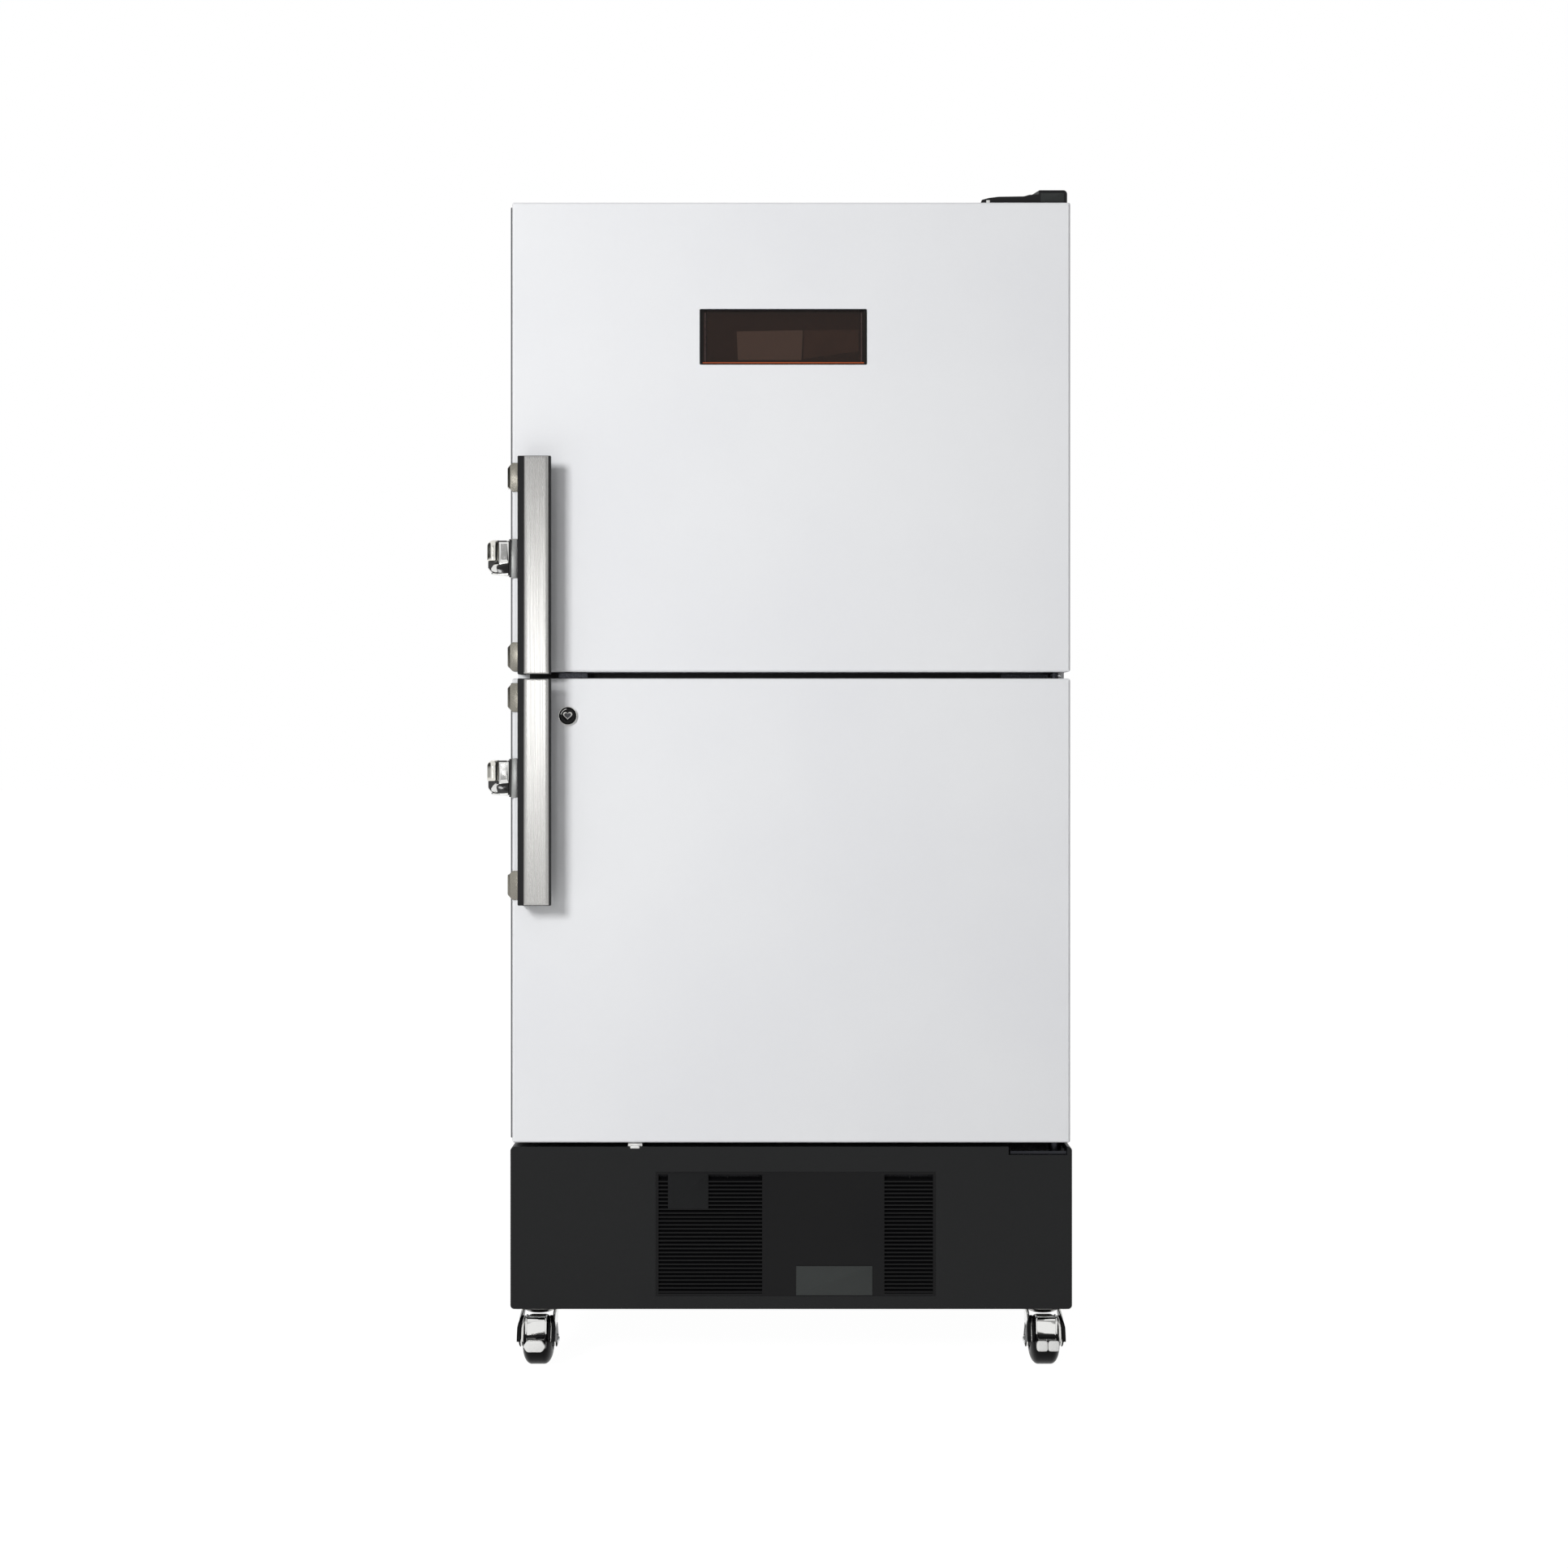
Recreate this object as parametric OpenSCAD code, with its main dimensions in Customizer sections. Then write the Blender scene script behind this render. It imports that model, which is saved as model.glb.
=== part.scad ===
// Upright laboratory refrigerator freezer on casters: two insulated compartments, one above the other,
// each behind its own door, over a machine base.
// Sizes are millimetres. Inside the modules x runs across from the cabinet's mid-plane, y runs back
// from the plane that the door seals close on, and z is the height above the floor.

/* [Cabinet] */
// Width of the insulated cabinet and of both doors
body_w = 850; // [780:5:920]
// Depth of the insulated cabinet behind the door seals
body_d = 715; // [660:5:770]
// Thickness of the insulated walls
wall_t = 75; // [66:1:90]
// Height of the insulated divider between the compartments
divider_h = 112; // [108:1:130]
// Thickness of the painted steel sheet of cabinet and doors
sheet_t = 1; // [0.8:0.1:1.5]
// Thickness of the moulded liners
liner_t = 2; // [1.5:0.1:3]
// Thickness of the plastic frame round the two openings
frame_t = 3; // [2:0.5:5]
// Width of the steel flange round the cabinet's front
flange_w = 18; // [14:1:20]
// Corner radius inside the compartments
liner_r = 16; // [10:1:24]

/* [Doors] */
// Thickness of both doors, without the seal
door_t = 75; // [65:1:90]
// Height of the upper door
upper_door_h = 715; // [660:5:760]
// Height of the lower door
lower_door_h = 707; // [660:5:760]
// Radius of the doors' front edges and corners
door_edge_r = 4; // [2:0.5:6]
// Gap between the two doors
door_gap = 10; // [9:0.5:12]
// Gap between the base and the lower door
base_gap = 6; // [5:0.5:10]
// Gap between the upper door and the hinge plate on the cabinet's top
top_gap = 2; // [1.5:0.5:4]
// Depth that each door's plug reaches into its compartment
plug_h = 12; // [6:1:20]
// Clearance round each plug
plug_clear = 12; // [8:1:18]

/* [Door seals] */
// Thickness of the closed seal
seal_t = 10; // [8:0.5:12]
// Width of the seal
seal_w = 24; // [18:1:26]
// Thickness of the seal's mounting strip
seal_strip_t = 3; // [2:0.5:4]
// How far the seal's outer edge lies inside the hinge axis
seal_inset = 2; // [1:0.5:4]

/* [Hinges] */
// Distance from the door's side to the hinge axis
pivot_inset = 20; // [18:1:24]
// Radius of the hinge pins
pin_r = 6; // [4:0.5:8]
// Radial play of a pin in its bush
pin_play = 0.05; // [0.02:0.01:0.08]
// Depth that a pin reaches into a door
pin_reach = 22; // [16:1:30]
// Wall of the hinge bushes
bush_wall = 4; // [3:0.5:5]
// Thickness of the hinge plates
hinge_plate_t = 5; // [4:0.5:6]
// Width of the top hinge plate
top_plate_w = 70; // [60:1:80]
// Length of the top hinge plate on the cabinet
top_plate_d = 80; // [60:1:100]
// Length of the middle bracket's foot on the divider
mid_foot_w = 90; // [60:1:120]
// Width of the recess in the base for the lower hinge
recess_w = 89; // [80:1:110]
// Depth of that recess
recess_h = 12.5; // [10:0.5:16]

/* [Hinge cover] */
// Height of the hinge cover above the cabinet
cover_h = 22; // [18:1:30]
// Width of the hinge cover on the cabinet
cover_w = 132; // [115:1:150]
// Depth of the hinge cover on the cabinet
cover_d = 112; // [105:1:130]
// Width of the nose over the hinge pin
cover_nose_w = 43; // [42:1:50]
// Clearance between the cover and the hinge plate
cover_clear = 1.5; // [1:0.5:3]
// Wall of the hinge cover
cover_wall = 2; // [1.5:0.1:3]

/* [Handles] */
// Length of the upper handle
upper_handle_l = 327; // [260:1:400]
// Length of the lower handle
lower_handle_l = 340; // [260:1:400]
// Gap between the ends of the two handles
handle_gap = 8; // [6:0.5:12]
// Distance of the handle's front from the door
handle_reach = 47; // [40:1:60]
// Width of the aluminium front
handle_w = 38; // [30:1:46]
// Thickness of the aluminium front
handle_t = 3.5; // [2.5:0.1:5]
// Thickness of the black channel's web
handle_web_t = 9; // [6:0.5:12]
// Distance from the door's side to the web
handle_inset = 13.5; // [13:0.5:20]
// Height of the end brackets
bracket_h = 44; // [30:1:60]
// How far the end brackets stand proud of the door's side
bracket_proud = 7; // [4:0.5:10]

/* [Latches] */
// Height of the upper latch above the upper door's lower edge
upper_latch_up = 172.5; // [140:0.5:200]
// Depth of the lower latch below the lower door's upper edge
lower_latch_down = 151.5; // [120:0.5:200]
// How far a latch reaches out from the door's side
latch_reach = 37; // [34:0.5:42]
// Height of a latch lever
latch_h = 54; // [48:1:60]
// Radius of the lever's pivot stud
stud_r = 5; // [4:0.5:6]
// Radius of the keeper's post
post_r = 6; // [5:0.5:8]
// Distance of the keeper's post behind the seal plane
post_back = 28; // [24:1:34]
// Depth that the hook bites behind the post
hook_bite = 4; // [2:0.5:5]

/* [Lock] */
// Distance of the lock from the door's left side
lock_inset = 85; // [75:1:110]
// Distance of the lock below the lower door's upper edge
lock_drop = 57; // [50:1:65]
// Radius of the lock's ring
lock_r = 13; // [11:0.5:16]
// Radius of the lock's barrel
barrel_r = 10; // [9:0.5:10.5]
// Radius of the lock's turning cylinder
rotor_r = 6; // [5:0.5:7]

/* [Display] */
// Width of the display window
display_w = 255; // [200:1:300]
// Height of the display window
display_h = 85; // [60:1:110]
// Distance from the upper door's top to the window
display_drop = 205; // [120:1:240]
// Offset of the window from the mid-plane
display_offset = -12; // [-40:1:40]
// Depth of the display housing
display_d = 32; // [26:1:45]
// Depth of the window below the door's face
window_set_back = 6; // [3:0.5:10]

/* [Base] */
// Height of the machine base
base_h = 247; // [220:1:280]
// How far the base stands out past the cabinet on each side
base_proud = 2.5; // [0:0.5:8]
// Radius of the base front's corners
base_r = 6; // [3:0.5:10]
// Thickness of the base's steel
base_t = 2; // [1.5:0.5:3]
// Width of the air grille
grille_w = 426; // [380:1:460]
// Height of the air grille
grille_h = 189; // [160:1:200]
// Distance from the base's lower edge to the grille
grille_up = 19.7; // [15:0.1:25]
// Offset of the grille from the mid-plane
grille_offset = 6.8; // [-20:0.1:20]
// Width of the louvres on the left
louvre_left_w = 162; // [120:1:170]
// Width of the louvres on the right
louvre_right_w = 78; // [60:1:110]
// Pitch of the louvres
louvre_pitch = 6; // [5:0.5:9]
// Thickness of a louvre
louvre_t = 2.2; // [1.6:0.1:3]
// Depth of the grille
grille_d = 10; // [8:1:14]

/* [Casters] */
// Height from the floor to the base
caster_h = 91.5; // [90:0.5:100]
// Diameter of the wheels
wheel_d = 75; // [70:1:75]
// Width of the wheels
wheel_w = 46; // [40:1:50]
// Radius of the axles
axle_r = 4; // [3:0.5:6]
// Distance from the swivel axis to the axle
caster_trail = 22; // [18:1:26]
// Distance of the swivel axes from the base's sides
caster_side = 39.5; // [39:0.5:70]
// Distance of the swivel axes from the base's front and back
caster_inset = 58; // [50:1:90]
// Thickness of the fork's legs
fork_t = 3; // [2.5:0.5:4]

/* [Inside] */
// Number of wire shelves in the refrigerator
upper_shelves = 3; // [2:1:3]
// Number of wire shelves in the freezer
lower_shelves = 2; // [2:1:3]
// Radius of a shelf's frame rod
shelf_rod_r = 3; // [2.5:0.5:4]
// Radius of a shelf's wires
shelf_wire_r = 1.25; // [1:0.25:2]
// Spacing of a shelf's wires
shelf_pitch = 32; // [25:1:45]
// Depth of the air duct at the back of the refrigerator
duct_d = 62; // [50:1:75]
// Height of the air duct
duct_h = 450; // [400:5:480]
// Distance of the air duct from the compartment's sides
duct_side = 50; // [30:1:90]
// Radius of the evaporator fan
evap_fan_r = 55; // [45:1:60]
// Radius of the condenser fan
cond_fan_r = 86; // [75:1:90]
// Inner radius of the test port
port_r = 12.5; // [8:0.5:20]
// Height of the test port above the refrigerator's floor
port_up = 250; // [120:5:330]

/* [Hidden] */
$fn = 48;

// Heights of the main planes
deck_z = caster_h + base_h;
lower_z0 = deck_z + base_gap;
lower_z1 = lower_z0 + lower_door_h;
upper_z0 = lower_z1 + door_gap;
upper_z1 = upper_z0 + upper_door_h;
cabinet_z1 = upper_z1 + top_gap;
divider_z = lower_z1 + door_gap / 2;
// Compartments, as floor and ceiling heights, and their width and depth
lower_room = [deck_z + wall_t, divider_z - divider_h / 2];
upper_room = [divider_z + divider_h / 2, cabinet_z1 - wall_t];
room_w = body_w - 2 * wall_t;
room_d = body_d - wall_t;
// Width of the base, and distance of the casters' swivel axes from the mid-plane
base_w = body_w + 2 * base_proud;
caster_x = base_w / 2 - caster_side;
// Planes of the doors' front faces and of the handles' fronts
door_front = -(seal_t + door_t);
handle_front = door_front - handle_reach;
// Hinge axis, and distance from a door's side to its seal
pivot_x = body_w / 2 - pivot_inset;
pivot_y = -seal_t - door_t / 2;
seal_edge = pivot_inset + seal_inset;
arm_r = pin_r + 4;
// The part's origin lies under the middle of its box, so the cabinet is shifted by these amounts
shift_x = (latch_reach - base_proud) / 2;
shift_y = -(body_d + handle_front) / 2;
// Small plays between pieces that are fitted into each other
play = 0.2;
turn_play = 0.05;

// Common helpers

// Everything is modelled about the cabinet's mid-plane and seal plane, then moved over the origin
module in_place() {
    translate([shift_x, shift_y, 0]) children();
}

// A block from its low corner to its high corner
module block(lo, hi) {
    translate(lo) cube(hi - lo);
}

// A rectangle with round corners, drawn flat
module rounded_rect(lo, hi, r) {
    translate([lo.x + r, lo.y]) square([hi.x - lo.x - 2 * r, hi.y - lo.y]);
    translate([lo.x, lo.y + r]) square([hi.x - lo.x, hi.y - lo.y - 2 * r]);
    for (x = [lo.x + r, hi.x - r], y = [lo.y + r, hi.y - r]) {
        translate([x, y]) circle(r);
    }
}

// An outline of x and z, carried from y0 to y1
module along_y(y0, y1) {
    translate([0, y1, 0]) rotate([90, 0, 0]) linear_extrude(y1 - y0) children();
}

// An outline of y and z, carried from x0 to x1
module along_x(x0, x1) {
    translate([x0, 0, 0]) rotate([90, 0, 90]) linear_extrude(x1 - x0) children();
}

// An outline of x and y, carried from z0 to z1
module along_z(z0, z1) {
    translate([0, 0, z0]) linear_extrude(z1 - z0) children();
}

// A round bar along y, from y0 to y1
module bar_y(x, z, r, y0, y1) {
    translate([x, y1, z]) rotate([90, 0, 0]) cylinder(r = r, h = y1 - y0);
}

// A round bar along x, from x0 to x1
module bar_x(y, z, r, x0, x1) {
    translate([x0, y, z]) rotate([0, 90, 0]) cylinder(r = r, h = x1 - x0);
}

// Points of an arc about a centre, from one angle to another
function arc(centre, r, a0, a1, n = 8) =
    [for (i = [0:n]) centre + r * [cos(a0 + (a1 - a0) * i / n), sin(a0 + (a1 - a0) * i / n)]];

// Insulated cabinet

// The inside of one compartment, grown by a wall on all sides but the mouth
module room(heights, grow, y0) {
    along_y(y0, room_d + grow)
        rounded_rect([-room_w / 2 - grow, heights[0] - grow], [room_w / 2 + grow, heights[1] + grow],
            liner_r + grow);
}

// Where the test port crosses the right wall
port_y = room_d - duct_d - 60;
port_z = upper_room[0] + port_up;
port_wall = 2;

module port_hole() {
    bar_x(port_y, port_z, port_r + port_wall + play, room_w / 2 - 10, body_w / 2 + 10);
}

// Radius of the cabinet's outer edges
shell_r = 4;

module outer_shell() {
    color("gainsboro") in_place() difference() {
        along_y(0, body_d)
            rounded_rect([-body_w / 2, deck_z], [body_w / 2, cabinet_z1], shell_r);
        along_y(sheet_t, body_d - sheet_t)
            rounded_rect([-body_w / 2 + sheet_t, deck_z + sheet_t],
                [body_w / 2 - sheet_t, cabinet_z1 - sheet_t], shell_r - sheet_t);
        block([-body_w / 2 + flange_w, -1, deck_z + flange_w],
            [body_w / 2 - flange_w, sheet_t + 1, cabinet_z1 - flange_w]);
        port_hole();
    }
}

// The foam is made of flat panels that almost meet, so that each of them is a plain block: two side walls
// that take in the round corners, and between them three that lie flat and two that stand at the back
module cabinet_foam() {
    skin = sheet_t + play;
    grow = liner_t + play;
    y0 = frame_t + play;
    y1 = body_d - skin;
    outer_x = body_w / 2 - skin;
    inner_x = room_w / 2 - liner_r;
    mid_x = inner_x - play;
    z0 = deck_z + skin;
    z1 = cabinet_z1 - skin;
    color("khaki") in_place() {
        difference() {
            along_y(y0, y1) rounded_rect([-outer_x, z0], [outer_x, z1], shell_r - skin);
            block([-inner_x, y0 - 1, z0 - 1], [inner_x, y1 + 1, z1 + 1]);
            room(lower_room, grow, -1);
            room(upper_room, grow, -1);
            port_hole();
        }
        block([-mid_x, y0, z0], [mid_x, y1, lower_room[0] - grow]);
        block([-mid_x, y0, lower_room[1] + grow], [mid_x, y1, upper_room[0] - grow]);
        block([-mid_x, y0, upper_room[1] + grow], [mid_x, y1, z1]);
        for (heights = [lower_room, upper_room]) {
            block([-mid_x, room_d + grow, heights[0] - grow + play], [mid_x, y1, heights[1] + grow - play]);
        }
    }
}

module liner(heights) {
    difference() {
        room(heights, liner_t, frame_t);
        room(heights, 0, -1);
    }
}

module upper_liner() {
    color("white") in_place() difference() {
        liner(upper_room);
        port_hole();
    }
}

module lower_liner() {
    color("white") in_place() liner(lower_room);
}

module front_frame() {
    color("dimgray") in_place() difference() {
        block([-body_w / 2 + flange_w, 0, deck_z + flange_w],
            [body_w / 2 - flange_w, frame_t, cabinet_z1 - flange_w]);
        room(lower_room, 0, -1);
        room(upper_room, 0, -1);
    }
}

module test_port_sleeve() {
    flange_t = 2;
    flange_r = port_r + 8;
    color("silver") in_place() difference() {
        union() {
            bar_x(port_y, port_z, port_r + port_wall, room_w / 2 - flange_t, body_w / 2 + flange_t);
            bar_x(port_y, port_z, flange_r, room_w / 2 - flange_t, room_w / 2);
            bar_x(port_y, port_z, flange_r, body_w / 2, body_w / 2 + flange_t);
        }
        bar_x(port_y, port_z, port_r, room_w / 2 - 10, body_w / 2 + 10);
    }
}

// Doors

// A door's outside between two heights, shrunk by a skin, with rounded front edges and corners
module door_form(z0, z1, skin, y1) {
    r = max(door_edge_r - skin, 0.5);
    x0 = -body_w / 2 + skin;
    y0 = door_front + skin;
    intersection() {
        along_y(y0 - 1, y1) rounded_rect([x0, z0 + skin], [-x0, z1 - skin], r);
        along_z(z0, z1) rounded_rect([x0, y0], [-x0, y1 + 3 * r], r);
        along_x(x0 - 1, 1 - x0) rounded_rect([y0, z0 + skin], [y1 + 3 * r, z1 - skin], r);
    }
}

// The raised panel on a door's inside, shrunk by a wall
module plug(heights, shrink, y0, y1) {
    edge = plug_clear + shrink;
    along_y(y0, y1)
        rounded_rect([-room_w / 2 + edge, heights[0] + edge], [room_w / 2 - edge, heights[1] - edge],
            liner_r - 2);
}

// Hinge bushes at a door's top and bottom edges
bush_r = pin_r + pin_play + bush_wall;
bush_l = pin_reach + 3;

module bush_at(z0, z1, r, grow) {
    for (span = [[z0 - grow, z0 + bush_l + grow], [z1 - bush_l - grow, z1 + grow]]) {
        translate([pivot_x, pivot_y, span[0]]) cylinder(r = r, h = span[1] - span[0]);
    }
}

module door_bushes(z0, z1) {
    difference() {
        bush_at(z0, z1, bush_r, 0);
        bush_at(z0, z1, pin_r + pin_play, 1);
    }
}

module door_skin(z0, z1) {
    difference() {
        door_form(z0, z1, 0, -seal_t);
        door_form(z0, z1, sheet_t, -seal_t + 1);
        bush_at(z0, z1, bush_r + play, 1);
    }
}

module door_foam(z0, z1, heights) {
    skin = sheet_t + play;
    difference() {
        union() {
            door_form(z0, z1, skin, -seal_t - liner_t - play);
            plug(heights, liner_t + play, -seal_t - liner_t - 1, plug_h - liner_t - play);
        }
        bush_at(z0, z1, bush_r + play, 1);
    }
}

module door_liner(z0, z1, heights) {
    skin = sheet_t + play;
    difference() {
        union() {
            block([-body_w / 2 + skin, -seal_t - liner_t, z0 + skin],
                [body_w / 2 - skin, -seal_t, z1 - skin]);
            plug(heights, 0, -seal_t - 1, plug_h);
        }
        plug(heights, liner_t, -seal_t - liner_t - 1, plug_h - liner_t);
    }
    door_bushes(z0, z1);
}

// A flat ring that runs round a door at a distance from its edges
module seal_ring(z0, z1, edge, w, y0, y1) {
    difference() {
        block([-body_w / 2 + edge, y0, z0 + edge], [body_w / 2 - edge, y1, z1 - edge]);
        block([-body_w / 2 + edge + w, y0 - 1, z0 + edge + w],
            [body_w / 2 - edge - w, y1 + 1, z1 - edge - w]);
    }
}

module door_seal(z0, z1) {
    chamber_inset = 4;
    neck_inset = 8;
    neck_t = 1.5;
    foot = -seal_t + seal_strip_t;
    difference() {
        union() {
            seal_ring(z0, z1, seal_edge, seal_w, -seal_t, foot);
            seal_ring(z0, z1, seal_edge + neck_inset, seal_w - 2 * neck_inset, foot - 0.5, foot + neck_t + 0.5);
            seal_ring(z0, z1, seal_edge + chamber_inset, seal_w - 2 * chamber_inset, foot + neck_t, 0);
        }
        // hollow that holds the magnet strip
        seal_ring(z0, z1, seal_edge + chamber_inset + 1.5, seal_w - 2 * chamber_inset - 3,
            foot + neck_t + 1, -1.5);
    }
}

// Display in the upper door
display_x = display_offset;
display_z1 = upper_z1 - display_drop + display_h / 2;
display_z0 = display_z1 - display_h;
window_t = 3;
housing_wall = 2;

module display_box(inset, y0, y1) {
    along_y(y0, y1)
        rounded_rect([display_x - display_w / 2 + inset, display_z0 + inset],
            [display_x + display_w / 2 - inset, display_z1 - inset], 2);
}

module display_housing() {
    ledge = 4;
    window_back = door_front + window_set_back + window_t;
    board_y = door_front + display_d - 14;
    color("black") in_place() {
        difference() {
            display_box(play, door_front + 0.3, door_front + display_d);
            display_box(housing_wall, door_front - 1, window_back);
            display_box(housing_wall + ledge, door_front - 1, door_front + display_d - housing_wall);
        }
        // circuit board with its digit block, on four posts
        display_box(housing_wall + ledge + 2, board_y, board_y + 1.6);
        block([display_x - 50, board_y - 7, display_z0 + 24], [display_x + 96, board_y, display_z1 - 22]);
        for (x = [-1, 1], z = [-1, 1]) {
            bar_y(display_x + x * (display_w / 2 - 16), (display_z0 + display_z1) / 2 + z * (display_h / 2 - 14),
                3, board_y + 1.6, door_front + display_d - housing_wall);
        }
    }
}

module display_window() {
    color([0.25, 0.12, 0.08]) in_place()
        display_box(housing_wall + play, door_front + window_set_back,
            door_front + window_set_back + window_t);
}

module upper_door_skin() {
    color("whitesmoke") in_place() difference() {
        door_skin(upper_z0, upper_z1);
        display_box(0, door_front - 1, door_front + 5);
    }
}

module upper_door_foam() {
    color("khaki") in_place() difference() {
        door_foam(upper_z0, upper_z1, upper_room);
        display_box(-play, door_front - 1, door_front + display_d + play);
    }
}

module upper_door_liner() {
    color("white") in_place() door_liner(upper_z0, upper_z1, upper_room);
}

module upper_door_seal() {
    color("dimgray") in_place() door_seal(upper_z0, upper_z1);
}

// Key lock in the lower door: its cam swings up through the door's top edge, behind the keeper's lip
lock_x = -body_w / 2 + lock_inset;
lock_z = lower_z1 - lock_drop;
cam_y = door_front + 28;
cam_t = 4;
cam_half_w = 5;
keeper_t = 2;
keeper_clear = 1.3;
keeper_z0 = upper_z0 - keeper_clear - keeper_t;
cam_l = keeper_z0 - keeper_clear - lock_z;
cam_reach_x = sqrt(cam_l * cam_l - lock_drop * lock_drop) + cam_half_w;

module lock_pocket() {
    r = cam_l + 3;
    nut_r = lock_r + 3;
    bar_y(lock_x, lock_z, nut_r, door_front + sheet_t, cam_y);
    along_y(cam_y - 3, cam_y + cam_t + 3) intersection() {
        translate([lock_x, lock_z]) circle(r);
        translate([lock_x - 9, lock_z - 9]) square([r + 9, r + 9]);
    }
}

module lower_door_skin() {
    color("whitesmoke") in_place() difference() {
        door_skin(lower_z0, lower_z1);
        bar_y(lock_x, lock_z, barrel_r + play, door_front - 1, door_front + 5);
        block([lock_x - cam_half_w - 2, cam_y - 2, lower_z1 - 5],
            [lock_x + cam_reach_x + 3, cam_y + cam_t + 2, lower_z1 + 1]);
    }
}

module lower_door_foam() {
    color("khaki") in_place() difference() {
        door_foam(lower_z0, lower_z1, lower_room);
        lock_pocket();
    }
}

module lower_door_liner() {
    color("white") in_place() door_liner(lower_z0, lower_z1, lower_room);
}

module lower_door_seal() {
    color("dimgray") in_place() door_seal(lower_z0, lower_z1);
}

module lock_barrel() {
    ring_t = 3;
    nut_t = 4;
    color("silver") in_place() difference() {
        union() {
            bar_y(lock_x, lock_z, lock_r, door_front - ring_t, door_front);
            bar_y(lock_x, lock_z, barrel_r, door_front - 0.5, cam_y - 2);
            bar_y(lock_x, lock_z, lock_r + 1, door_front + sheet_t, door_front + sheet_t + nut_t);
        }
        bar_y(lock_x, lock_z, rotor_r + turn_play, door_front - 9, cam_y);
    }
}

module lock_cylinder() {
    face_y = door_front - 2.5;
    color("dimgray") in_place() difference() {
        union() {
            bar_y(lock_x, lock_z, rotor_r, face_y, cam_y + cam_t);
            bar_y(lock_x, lock_z, rotor_r + 2, cam_y, cam_y + cam_t);
            block([lock_x, cam_y, lock_z - cam_half_w], [lock_x + cam_l, cam_y + cam_t, lock_z + cam_half_w]);
        }
        // keyway
        block([lock_x - 0.7, face_y - 1, lock_z - 3.5], [lock_x + 0.7, face_y + 6, lock_z + 3.5]);
    }
}

// Handles

channel_x = -body_w / 2 + handle_inset;
front_x = channel_x + handle_web_t;
bracket_t = 3;
channel_back = door_front - bracket_t;
handle_mid = divider_z - 3;
upper_handle = [handle_mid + handle_gap / 2, handle_mid + handle_gap / 2 + upper_handle_l];
lower_handle = [handle_mid - handle_gap / 2 - lower_handle_l, handle_mid - handle_gap / 2];

module handle_front_bar(span) {
    lip = 2;
    along_z(span[0], span[1]) {
        translate([front_x, handle_front]) square([handle_w, handle_t]);
        translate([front_x, handle_front]) square([lip, handle_t + 2]);
    }
}

module handle_channel_bar(span) {
    lining_t = 3;
    edge_t = 3;
    lining_y = handle_front + handle_t;
    along_z(span[0], span[1]) difference() {
        union() {
            translate([channel_x, handle_front + 1]) square([handle_web_t, channel_back - handle_front - 1]);
            translate([channel_x, lining_y]) square([handle_web_t + handle_w + edge_t, lining_t + 2]);
            translate([front_x + handle_w, handle_front + 1]) square([edge_t, handle_t + lining_t]);
        }
        translate([front_x - 1, lining_y - 1]) square([3 + play, 3 + play]);
    }
}

// End brackets: each wraps from under the channel round the door's edge to its side, and its outer corners
// are cut off
module handle_bracket_pair(span) {
    side = -body_w / 2;
    out = side - bracket_proud;
    chamfer = 4;
    corner = 9;
    end = 5;
    side_l = 42;
    for (z = [span[0] + end, span[1] - end - bracket_h]) {
        intersection() {
            along_z(z, z + bracket_h) polygon([
                [front_x, channel_back], [out + chamfer, channel_back], [out, channel_back + chamfer],
                [out, door_front + side_l - chamfer], [out + chamfer, door_front + side_l],
                [side, door_front + side_l], [side, door_front], [front_x, door_front]
            ]);
            along_y(channel_back - 1, door_front + side_l + 1) polygon([
                [front_x + 1, z - 1], [side + 1, z - 1], [side + 1, z], [out - 1, z + corner],
                [out - 1, z + bracket_h - corner], [side + 1, z + bracket_h],
                [side + 1, z + bracket_h + 1], [front_x + 1, z + bracket_h + 1]
            ]);
        }
    }
}

module upper_handle_front() {
    color("silver") in_place() handle_front_bar(upper_handle);
}

module upper_handle_channel() {
    color("black") in_place() handle_channel_bar(upper_handle);
}

module upper_handle_brackets() {
    color("darkgray") in_place() handle_bracket_pair(upper_handle);
}

module lower_handle_front() {
    color("silver") in_place() handle_front_bar(lower_handle);
}

module lower_handle_channel() {
    color("black") in_place() handle_channel_bar(lower_handle);
}

module lower_handle_brackets() {
    color("darkgray") in_place() handle_bracket_pair(lower_handle);
}

// Side latches

upper_latch_z = upper_z0 + upper_latch_up;
lower_latch_z = lower_z1 - lower_latch_down;
latch_plate_t = 2;
latch_boss_t = 1.6;
lever_front = door_front - 10;
lever_x0 = -body_w / 2 - latch_reach;
lever_x1 = -body_w / 2 - latch_plate_t - latch_boss_t - 0.4;
stud_y = door_front + 23;
stud_up = 8;
arm_x = -body_w / 2 - 16;
arm_t = 8;

module latch_base(z) {
    side = -body_w / 2;
    half_h = latch_h / 2 + 3;
    wrap = 8;
    plate_l = door_t - 8;
    block([side - latch_plate_t, door_front - latch_plate_t, z - half_h],
        [side, door_front + plate_l, z + half_h]);
    block([side - latch_plate_t, door_front - latch_plate_t, z - half_h],
        [side + wrap, door_front, z + half_h]);
    bar_x(stud_y, z + stud_up, stud_r + 5, side - latch_plate_t - latch_boss_t, side - latch_plate_t);
    bar_x(stud_y, z + stud_up, stud_r, lever_x0 + 6, side - latch_plate_t);
}

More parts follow.
